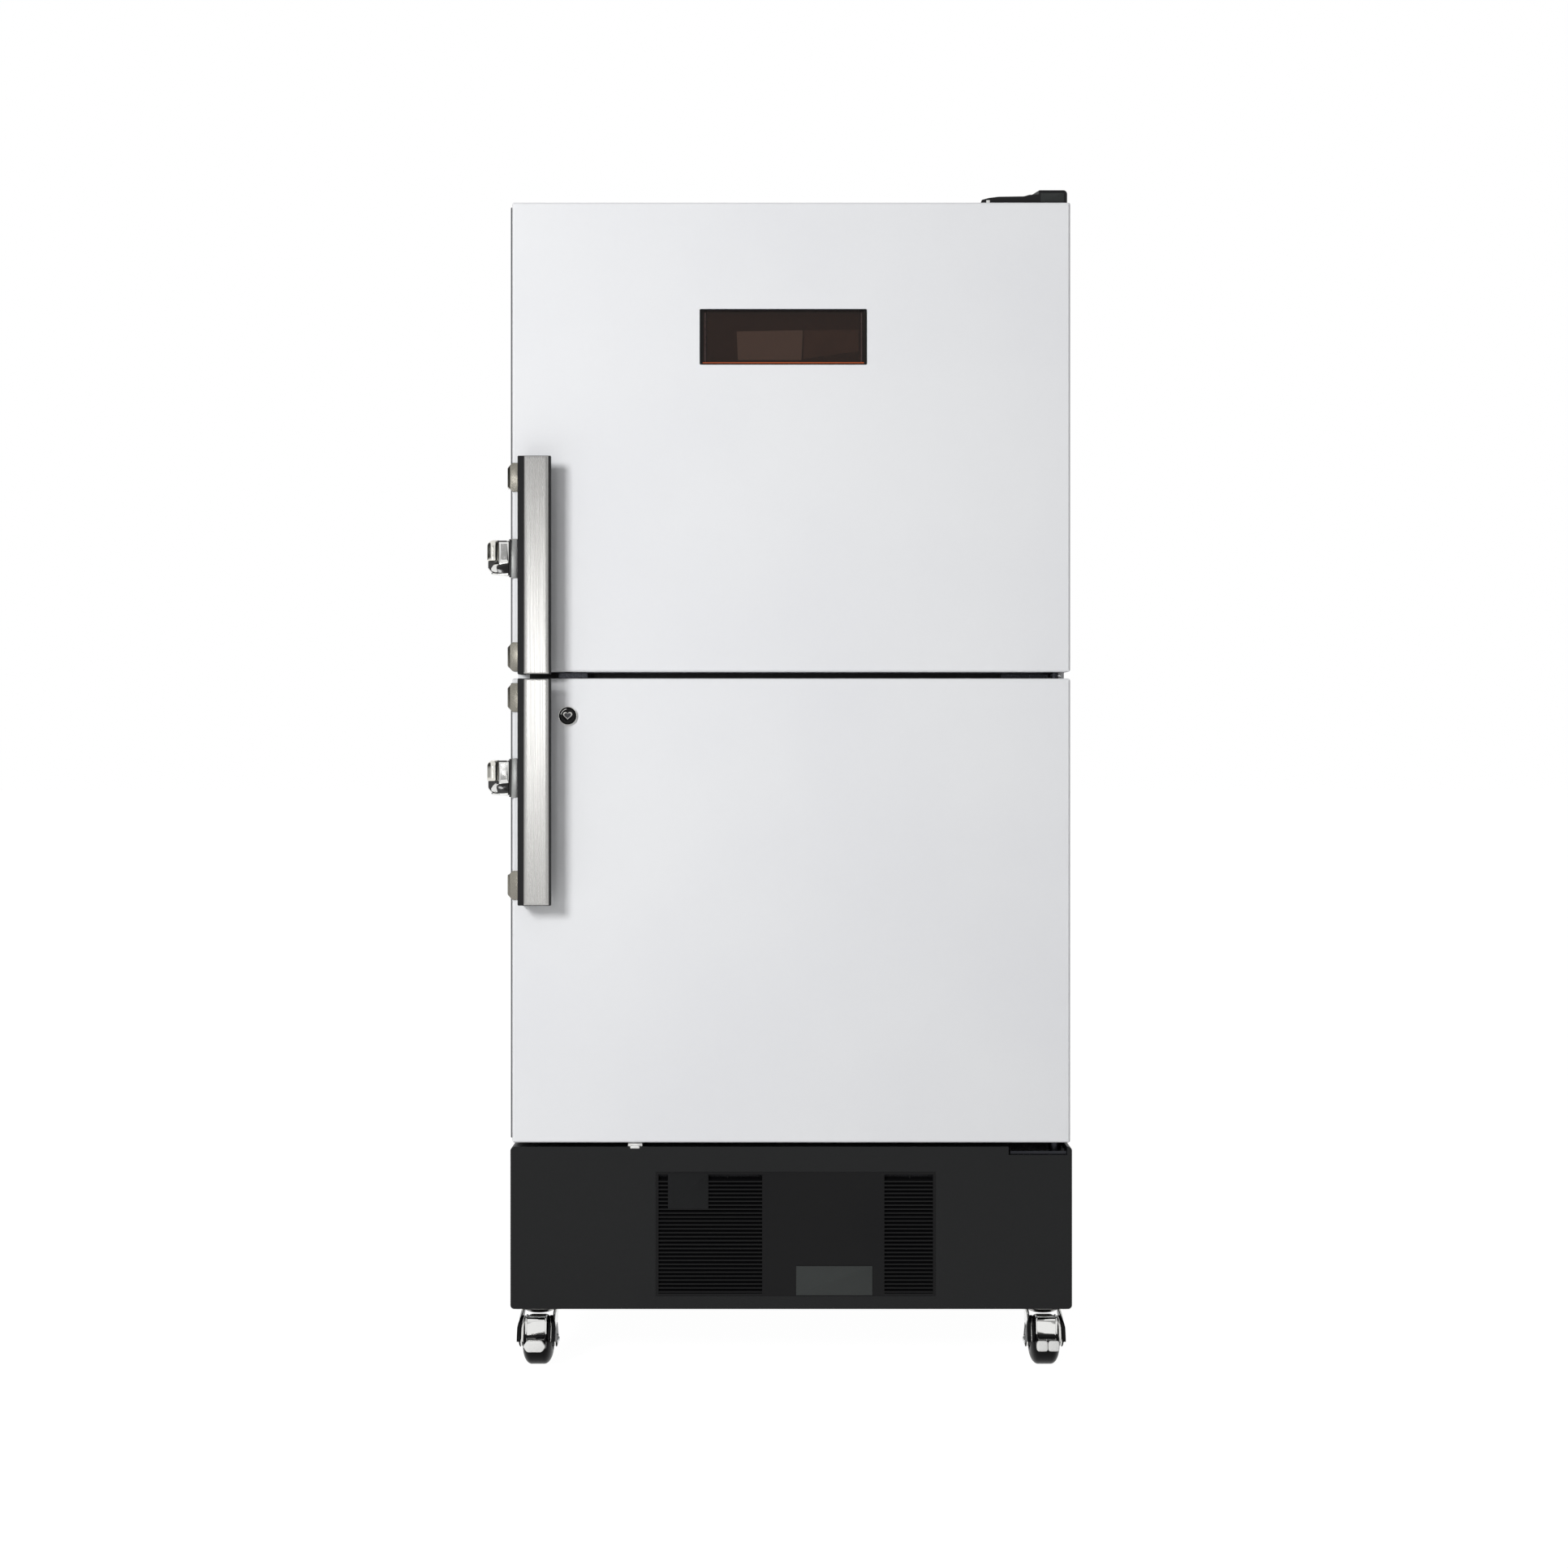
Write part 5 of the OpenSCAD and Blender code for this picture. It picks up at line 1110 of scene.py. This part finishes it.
@dataclass
class DisplayUnit:
    """Recessed display: lower edge with a painted amber glow, upright edges with painted shade, two panels
    with a painted faint glow and a thin frame.

    Fields: width of the frame; thickness of the panels.
    """

    frame_width: float = 2.0
    film: float = 0.8

    def panel(self, outline: Sequence[Sequence[float]]) -> Surface:
        """Make a flat panel just behind the window.

        Args:
            outline: x and z of its corners from the housing's lower left corner.

        Returns:
            A closed plate.
        """
        low, _ = node_box("display_housing")
        back = low[1] + 9.8
        corners = softened([(low[0] + x, low[2] + z) for x, z in outline], 1.2, 3)
        return prism(corners, back - self.film, back, 0.2, Axis.Y)

    def bezel(self) -> Surface:
        """Make the frame round the housing's front, with two eased front edges."""
        low, high = node_box("display_housing")
        outer = softened(rectangle(low[0], low[2], high[0], high[2]), 2.4, 4)
        width = self.frame_width
        profile = [(0.0, 0.0), (0.3, -0.5), (width - 0.3, -0.5), (width, 0.0), (width, 4.5), (0.0, 4.5)]
        return bordered(outer, np.array(profile), low[1] - 0.2)

    def build(self) -> None:
        """Put the display's pieces together."""
        (left, front, bottom), (right, _, top) = node_box("display_housing")
        # The lower edge and the two panels glow with painted light; the upright edges' dark colour is painted
        # shade
        strip = block((left + 4.5, front - 0.6, bottom + 0.3), (right - 4.5, front + 5.8, bottom + 3.9), 0.5)
        piece("display_lit_edge", strip, AMBER_GLOW, "upper_door")
        sides = [block((x - 1.1, front + 2.2, bottom + 5), (x + 1.1, front + 5.9, top - 5), 0.4)
                 for x in (left + 8.2, right - 8.2)]
        piece("display_side_edges", joined(sides), EDGE_RED, "upper_door")
        digits = self.panel([(58, 8.5), (155, 8.5), (157, 54), (56, 52)])
        piece("display_panels", digits, WARM_PANEL, "upper_door")
        keys = self.panel([(158, 10), (242, 22), (242, 55), (159, 54)])
        piece("display_side_panel", keys, DARK_PANEL, "upper_door")
        piece("display_bezel", self.bezel(), GLOSS_BLACK, "upper_door")


@dataclass
class KeyLock:
    """Cam lock's visible face: narrow nickel ring, a nickel arc that paints a highlight, coned black face and
    a heart-shaped shutter.
    """

    radius: float = 13.5

    def build(self) -> None:
        """Put the lock's face together."""
        low, high = node_box("lock_barrel")
        x, z = (low[0] + high[0]) / 2, (low[2] + high[2]) / 2
        # The face stands 1.5 mm in front of the CAD barrel and hides it
        front, r = low[1] - 1.5, self.radius
        ring = turned([(r - 0.3, 3.0), (r - 0.3, 0.8), (r, 0.3), (r + 0.5, 0.3), (r + 0.8, 0.8),
                       (r + 0.8, 3.0)], (x, front, z), Axis.Y, 56, ring=True)
        # A nickel arc on the black face's upper left paints the highlight seen there
        turn = np.radians(np.linspace(100, 168, 12))
        highlight_arc = bent_tube(np.stack([x + 10.4 * np.cos(turn), np.full(12, front + 0.2),
                                    z + 10.4 * np.sin(turn)], 1), 0.6)
        piece("lock_ring", joined([ring, highlight_arc]), SATIN_NICKEL, "lower_door")
        face = turned([(5.9, 3.0), (5.9, 0.0), (6.5, -0.3), (r - 1.0, 0.6), (r - 0.4, 1.3), (r - 0.4, 3.0)],
                      (x, front, z), Axis.Y, 56, ring=True)
        piece("lock_face", face, BLACK_NYLON, "lower_door")
        dome = turned([(0, -0.6), (3.2, -0.2), (5.2, 0.2), (5.8, 0.9), (5.8, 2.4), (0, 2.4)],
                      (x, front, z), Axis.Y, 40)
        piece("lock_plug", dome, BLACK_NYLON, "lock_cylinder")
        angle = np.linspace(0, 2 * math.pi, 25)[:-1]
        heart = np.stack([7.2 * np.sin(angle) ** 3, 5.5 * np.cos(angle) - 2.1 * np.cos(2 * angle)
                          - 0.85 * np.cos(3 * angle) - 0.42 * np.cos(4 * angle) + 0.9], 1)
        steps = ((1.0, 0.2), (1.0, -0.9), (0.92, -1.3), (0.78, -1.2), (0.72, -0.8), (0.72, 0.2))
        rings = [np.stack([x + scale * heart[:, 0], np.full(24, front + depth), z + scale * heart[:, 1]], 1)
                 for scale, depth in steps]
        rim = loft(np.stack(rings), ring_loop=True)
        piece("lock_shutter", rim, SATIN_NICKEL, "lock_cylinder")
        flap = prism(np.array([x, z]) + 0.71 * heart, front - 0.8, front + 0.4, 0.2, Axis.Y)
        piece("lock_shutter_flap", flap, CORE_NYLON, "lock_cylinder")


@dataclass
class CasterLook:
    """One caster: crowned tyre and core, stamped fork with black sides that paint its dark reflections, nuts
    and brake pedal.

    Fields: its end and side of the cabinet; how far the kingpin stands behind the axle; the wheel's radius.
    """

    end: str
    side: str
    trail: float = 22.0
    axle: float = 37.5

    @property
    def braked(self) -> bool:
        """Whether this caster carries a brake pedal."""
        return self.end == "front"

    def centre(self) -> np.ndarray:
        """Give the middle of the wheel."""
        low, high = node_box(f"{self.end}_{self.side}_wheel")
        return (low + high) / 2

    def tyre(self) -> Surface:
        """Make the tyre: a flat tread 19 mm wide whose shoulders are quarter ellipses, 13.5 mm by 24 mm."""
        angle = np.linspace(0, math.pi / 2, 15)
        drop = 24 * (1 - np.cos(angle))
        width = 9.5 + 13.5 * np.sin(angle)
        radius = self.axle - drop
        keep = radius > 17
        side = np.stack([radius[keep], width[keep]], 1)
        tread = np.array([(self.axle, 0.0), (self.axle, 9.0)])
        half = np.concatenate([tread, side])
        profile = np.concatenate([half[:0:-1] * np.array([1, -1]), half, [(16.2, half[-1, 1] - 0.6)],
                                  [(16.2, -half[-1, 1] + 0.6)]])
        return turned(profile, self.centre(), Axis.X, 72, ring=True)

    def core(self) -> Surface:
        """Make the wheel's core: a dished disc with a hub and a rolled rim."""
        half = [(16.4, 21.0), (16.0, 21.6), (14.6, 21.8), (13.2, 20.6), (12.2, 17.5), (10.2, 17.2),
                (9.4, 18.6), (9.0, 23.4), (8.0, 23.8), (4.06, 23.8)]
        profile = half + [(r, -w) for r, w in half[::-1]]
        return turned(profile, self.centre(), Axis.X, 48, ring=True)

    def cheek_outline(self, grow: float, start: float) -> np.ndarray:
        """Give the outline of a fork leg: a fender arc, a straight back and a round foot about the axle.

        Args:
            grow: how far it stands out from the fork's own outline.
            start: angle in degrees where the fender arc begins.

        Returns:
            Points of y and z.
        """
        _, y, z = self.centre()
        fender = arc((y, z), 42.5 + grow, 180 - start, 90, 12)
        foot = arc((y, z), 11 + grow, -20, -160, 10)
        back = np.array([(y + self.trail + 12, z + 47.7), (y + 11 + grow, z + 6)])
        return np.concatenate([fender, back, foot])

    def shield(self) -> Surface:
        """Make the fork's front: a sheet with a square brow, twisted a little so that its sheen runs aslant.

        Its side view is a smoothed line between seven points. Each point then moves along y by up to
        0.9 mm, by its share of the half width and of the height.

        Returns:
            The closed sheet.
        """
        x, y, z = self.centre()
        line = np.array([(-42.8, 8.0), (-43.2, 16.0), (-43.3, 24.0), (-43.1, 32.0), (-42.4, 39.6),
                         (-37.0, 41.4), (-22.0, 41.6)])
        t = np.linspace(0, 6, 25)
        side = np.stack([np.interp(t, np.arange(7), line[:, k]) for k in (0, 1)], 1)
        side[1:-1] = (side[:-2] + 2 * side[1:-1] + side[2:]) / 4
        reach = 13.8
        across = np.linspace(-reach, reach, 15)
        hand = -1.0 if self.side == "left" else 1.0
        share = np.clip((side[:, 1] - 24.0) / 16.0, -1, 1)
        twist = 0.9 * hand * share[:, None] * across[None, :] / reach * (side[:, 1:2] < 40)
        front = np.stack([np.broadcast_to(x + across, twist.shape), y + side[:, :1] + twist,
                          np.broadcast_to(z + side[:, 1:2], twist.shape)], -1)
        back = front[:, ::-1] + np.array([0.0, 1.8, -0.9])
        return loft(np.concatenate([front, back], 1))

    def beads(self) -> Surface:
        """Make the round beads that edge the fork's front."""
        x, y, z = self.centre()
        line = [(-43.2, 7.0), (-43.7, 16.0), (-43.9, 24.0), (-43.7, 32.0), (-42.6, 39.4), (-37.6, 41.4),
                (-22.0, 41.8)]
        return joined([bent_tube([(x + aside, y + back, z + up) for back, up in line], 1.4, 5, 10)
                       for aside in (-14.9, 14.9)])

    def legs(self) -> Surface:
        """Make both legs of the fork."""
        x = self.centre()[0]
        outline = self.cheek_outline(0, 17)
        return joined([prism(outline, x + aside - 1.5, x + aside + 1.5, 0.6, Axis.X)
                       for aside in (-25.8, 25.8)])

    def head(self) -> Surface:
        """Make the swivel's dished head, with a rolled bead under its rim."""
        x, y, _ = self.centre()
        profile = [(6.1, 77.2), (18, 76.6), (21, 77.4), (24, 79.2), (24.6, 80.0), (25.4, 80.1), (28.4, 82.2),
                   (30, 84.0), (29.4, 85.2), (6.1, 85.2)]
        return turned(profile, (x, y + self.trail, 0), Axis.Z, 56, ring=True)

    def pedal_pad(self) -> Surface:
        """Make the pedal's white pad: six-sided on the left caster, two rounded lobes on the right one."""
        low, high = node_box(f"{self.side}_brake_pedal")
        x = (low[0] + high[0]) / 2
        front, back = low[1] + 0.1, low[1] + 7
        if self.side == "left":
            outline = [(x - 17.2, 41.7), (x - 11.5, 50.4), (x + 11.5, 50.4), (x + 17.2, 41.7),
                       (x + 11.2, 33.4), (x - 11.2, 33.4)]
            return prism(softened(outline, 3.0, 4), front, back, 1.6, Axis.Y)
        return joined([prism(softened(rectangle(start, 34.4, end, 50.2), 4.6, 5), front, back, 2.4, Axis.Y)
                       for start, end in ((x - 17.2, x - 0.2), (x + 0.2, x + 17.2))])

    def pedal_arms(self) -> Surface:
        """Make the pedal's two arms, which reach from its pad back to the pivot, and the pivot's sleeve."""
        low, high = node_box(f"{self.side}_brake_pedal")
        front, back = low[1], high[1]
        outline = softened([(front + 5, 37), (front + 5, 47), (back - 3, 56.2), (back - 0.6, 52),
                            (back - 2, 46), (front + 12, 37)], 2.0, 3)
        arms = [prism(outline, start, start + 3.0, 0.5, Axis.X) for start in (low[0] + 0.6, high[0] - 3.6)]
        return joined(arms + [self.pedal_sleeve()])

    def drawn_in(self, cover: Surface) -> Surface:
        """Narrow a cover by a fifth toward the head and by an eighth toward the foot, along smooth steps."""
        x = self.centre()[0]
        points = cover.points.copy()
        up = np.clip((points[:, 2] - 62) / 24, 0, 1)
        down = np.clip((34 - points[:, 2]) / 24, 0, 1)
        share = 1 - 0.2 * up * up * (3 - 2 * up) - 0.12 * down * down * (3 - 2 * down)
        points[:, 0] = x + (points[:, 0] - x) * share
        return Surface(points, cover.faces)

    def band(self, way: int, start: float, end: float, low: float, high: float) -> Surface:
        """Make a curved band beside the fork's front.

        Args:
            way: minus one for the left side, one for the right.
            start: its inner edge's distance from the middle.
            end: its outer edge's distance.
            low: radius of its back about the axle.
            high: radius of its front.

        Returns:
            The band.
        """
        x, y, z = self.centre()
        section = softened(rectangle(x + way * start, low, x + way * end, high), 0.9, 3)
        angle = np.radians(np.linspace(172, 116, 22))[:, None]
        across, radius = section[None, :, 0], section[None, :, 1]
        return loft(np.stack([np.broadcast_to(across, (22, len(section))), y + radius * np.cos(angle),
                              z + radius * np.sin(angle)], -1))

    def outward_way(self) -> int:
        """Tell which side of the caster looks away from the cabinet's middle."""
        return -1 if self.side == "left" else 1

    def dark_reflection_sides(self) -> Surface:
        """Make the black pieces that paint the fork's dark reflections: a plate on each side and bands beside
        its front.
        """
        x = self.centre()[0]
        outline = self.cheek_outline(0.8, 12)
        parts = []
        for way in (-1, 1):
            inner, outer = sorted((x + way * 27.4, x + way * 29.4))
            parts.append(prism(outline, inner, outer, 0.9, Axis.X))
            if way == self.outward_way():
                spans = [(14.4, 18.2, 42.6, 45.2), (23.2, 29.2, 42.6, 45.4)]
            else:
                spans = [(16.6, 22.2, 42.6, 45.2), (23.2, 29.2, 42.6, 45.8)]
            parts += [self.band(way, *span) for span in spans]
        return self.drawn_in(joined(parts))

    def strips(self) -> Surface:
        """Make the bright strip on the outward side and the narrow one on the other side."""
        way = self.outward_way()
        wide = self.band(way, 18.6, 22.8, 42.4, 44.9)
        narrow = self.band(-way, 22.0, 23.4, 42.4, 44.6)
        return self.drawn_in(joined([wide, narrow]))

    def pedal_sleeve(self) -> Surface:
        """Make the black sleeve round the pedal's pivot."""
        low, high = node_box(f"{self.side}_brake_pedal")
        x, y, z = self.centre()
        reach, tilt = 48.0, math.radians(17)
        place = (x, y - reach * math.cos(tilt), z + reach * math.sin(tilt))
        half = (high[0] - low[0]) / 2 - 0.8
        start, end = (0.5, 12.5) if self.side == "left" else (-12.5, 12.5)
        return turned([(0, -half), (1.6, -half), (1.6, start), (3.6, start), (3.6, end), (1.6, end),
                       (1.6, half), (0, half)], place, Axis.X, 28)

    def nuts(self) -> Surface:
        """Make the axle's nuts: six-sided, with a round bolt end."""
        nut = [(0, 27.3), (7.6, 27.3), (7.6, 29.8), (6.6, 30.7), (0, 30.7)]
        bolt = [(0, 30), (3.4, 30), (3.4, 31.6), (2.6, 32.2), (0, 32.2)]
        return joined([turned([(radius, way * out) for radius, out in profile], self.centre(), Axis.X, count)
                       for way in (-1, 1) for profile, count in ((nut, 6), (bolt, 20))])

    def build(self) -> None:
        """Put the caster's pieces together."""
        fork = f"{self.end}_{self.side}_fork"
        wheel = f"{self.end}_{self.side}_wheel"
        piece(f"{wheel}_tyre", self.tyre(), RUBBER, wheel, [wheel])
        piece(f"{wheel}_core", self.core(), CORE_NYLON, wheel, [wheel])
        piece(f"{fork}_stamping", self.legs(), CHROME, fork)
        piece(f"{fork}_head", self.head(), SATIN_NICKEL, fork, [fork])
        piece(f"{fork}_front", self.shield(), CHROME, fork)
        piece(f"{fork}_beads", self.beads(), CHROME, fork)
        piece(f"{fork}_strips", self.strips(), SATIN_NICKEL, fork)
        # Black pieces paint the dark reflections on the fork's sides
        piece(f"{fork}_covers", self.dark_reflection_sides(), BLACK_NYLON, fork)
        piece(f"{fork}_nuts", self.nuts(), BRIGHT_ZINC, fork)
        if self.braked:
            pedal = f"{self.side}_brake_pedal"
            piece(f"{pedal}_pad", self.pedal_pad(), PEDAL_NYLON, pedal, [pedal])
            piece(f"{pedal}_arms", self.pedal_arms(), BLACK_NYLON, pedal, [pedal])


@dataclass
class Studio:
    """White sweep, a soft key from the upper left, a small lamp in front, and the camera square to the doors.

    Fields: the camera's distance from the doors, distance from their middle and height in metres; width of
    the view on the doors' plane and height of its middle; power of both lamps in watts; the floor's own
    light and its share where it is seen; the room's brightness for diffuse light and, in reflections,
    round the camera.
    """

    distance: float = 3.65
    aside: float = -0.011
    eye: float = 0.96
    view_width: float = 2.387
    picture_middle: float = 0.8908
    key_power: float = 108.0
    front_power: float = 7.2
    floor_light: float = 1.14
    floor_share: float = 0.86
    world_level: float = 0.34
    ahead_level: float = 0.36

    def floor(self) -> None:
        """Lay a pale floor that shows white to the camera and still takes the object's shadow."""
        material, tree = empty_material("white_sweep")
        ray = add_node(tree, "LightPath")
        plain = add_node(tree, "BsdfDiffuse", None, {"Color": linear("f2f2f2")})
        direct = add_node(tree, "Math", {"operation": "ADD"},
                          {0: ray.outputs["Is Camera Ray"], 1: ray.outputs["Is Glossy Ray"]})
        white = add_node(tree, "Emission", None, {"Color": linear("ffffff"), "Strength": self.floor_light})
        seen = add_node(tree, "Math", {"operation": "ADD", "use_clamp": True},
                        {0: direct.outputs[0], 1: ray.outputs["Is Transmission Ray"]})
        share = add_node(tree, "Math", {"operation": "MULTIPLY"}, {0: seen.outputs[0], 1: self.floor_share})
        mixed = add_node(tree, "MixShader", None,
                         {0: share.outputs[0], 1: plain.outputs[0], 2: white.outputs[0]})
        add_node(tree, "OutputMaterial", None, {"Surface": mixed.outputs[0]})
        mesh = bpy.data.meshes.new("studio_floor")
        reach = 40.0
        corners = [(x, y, 0) for x, y in rectangle(-reach, -reach, reach, reach)]
        mesh.from_pydata(corners, [], [(0, 1, 2, 3)])
        mesh.materials.append(material)
        obj = placed("studio_floor", mesh)

    def world(self) -> None:
        """Light the room evenly, but dark at both sides, and dim round the camera in reflections."""
        world = bpy.data.worlds.new("studio_room")
        bpy.context.scene.world = world
        world.use_nodes = True
        tree = world.node_tree
        tree.nodes.clear()
        ray = add_node(tree, "LightPath")
        place = add_node(tree, "TexCoord").outputs["Generated"]
        way = add_node(tree, "SeparateXYZ", None, {0: place})
        across = add_node(tree, "Math", {"operation": "ABSOLUTE"}, {0: way.outputs["X"]})
        bay = add_node(tree, "MapRange", {"interpolation_type": "SMOOTHSTEP"}, {
            "Value": across.outputs[0], "From Min": 0.54, "From Max": 0.76, "To Min": 1.0, "To Max": 0.04})
        # Middle of the dim patch and how quickly it ends across, in depth and in height
        dim_way, dim_falloff = (0.05, -1.0, 0.03), (3.9, 2.0, 2.8)
        aside = add_node(tree, "VectorMath", {"operation": "SUBTRACT"}, {0: place, 1: dim_way})
        wide = add_node(tree, "VectorMath", {"operation": "MULTIPLY"}, {0: aside.outputs[0], 1: dim_falloff})
        off = add_node(tree, "VectorMath", {"operation": "LENGTH"}, {0: wide.outputs[0]})
        ahead = add_node(tree, "MapRange", {"interpolation_type": "SMOOTHSTEP"}, {
            "Value": off.outputs["Value"], "From Min": 0.75, "From Max": 1.05, "To Min": self.ahead_level,
            "To Max": 1.0})
        seen = add_node(tree, "Math", {"operation": "ADD", "use_clamp": True},
                        {0: ray.outputs["Is Camera Ray"], 1: ray.outputs["Is Transmission Ray"]})
        room = add_node(tree, "Mix", {"data_type": "FLOAT"},
                        {0: ray.outputs["Is Glossy Ray"], 2: self.world_level, 3: ahead.outputs[0]})
        shaded = add_node(tree, "Math", {"operation": "MULTIPLY"}, {0: room.outputs[0], 1: bay.outputs[0]})
        level = add_node(tree, "Mix", {"data_type": "FLOAT"},
                         {0: seen.outputs[0], 2: shaded.outputs[0], 3: 1.0})
        background = add_node(tree, "Background", None,
                              {"Color": linear("ffffff"), "Strength": level.outputs[0]})
        add_node(tree, "OutputWorld", None, {"Surface": background.outputs[0]})

    def lamp(self, name: str, place: Sequence[float], aim: Sequence[float], size: float, power: float,
             mirrored: bool) -> None:
        """Add a square soft lamp.

        Args:
            name: the lamp's name.
            place: where it stands, in metres.
            aim: the point it faces, in metres.
            size: its side in metres.
            power: its power in watts.
            mirrored: whether glossy surfaces show it.
        """
        light = bpy.data.lights.new(name, "AREA")
        light.size = size
        light.energy = power
        obj = placed(name, light)
        way = np.array(aim) - np.array(place)
        flat = math.hypot(way[0], way[1])
        obj.location = place
        obj.rotation_euler = (math.atan2(flat, -way[2]), 0, math.atan2(way[1], way[0]) - math.pi / 2)
        obj.visible_glossy = mirrored

    def camera(self) -> None:
        """Set the camera square to the doors, its height and shift from the photograph."""
        low, high = node_box("upper_door_skin")
        door_x = float((low[0] + high[0]) / 2 * MM + ORIGIN[0])
        door_y = float(low[1] * MM + ORIGIN[1])
        data = bpy.data.cameras.new("photo_view")
        sensor = 36.0
        data.sensor_width = sensor
        data.lens = sensor * self.distance / self.view_width
        data.shift_y = (self.picture_middle - self.eye) / self.view_width
        data.clip_end = 200
        obj = placed("photo_view", data)
        obj.location = (door_x + self.aside, door_y - self.distance, self.eye)
        obj.rotation_euler = (math.pi / 2, 0, 0)
        bpy.context.scene.camera = obj

    def build(self) -> None:
        """Set up floor, room, lamps, camera and the plain view transform."""
        self.floor()
        self.world()
        self.lamp("key", (-2.0, -3.9, 2.25), (0, -0.35, 1.0), 1.0, self.key_power, False)
        self.lamp("front", (-0.78, -4.4, 1.16), (-0.38, -0.4, 1.06), 0.45, self.front_power, True)
        self.camera()
        bpy.context.scene.view_settings.view_transform = "Standard"


def main() -> None:
    """Build every piece in order."""
    logging.basicConfig(level=logging.INFO, format="%(message)s")
    Studio().build()
    Cabinet().build()
    HingeCover().build()
    MachineGrille().build()
    for level in LEVELS:
        DoorLook(level).build()
        SideLatch(level).build()
    DisplayUnit().build()
    KeyLock().build()
    for end in ENDS:
        for side in SIDES:
            CasterLook(end, side).build()


if __name__ == "__main__":
    main()
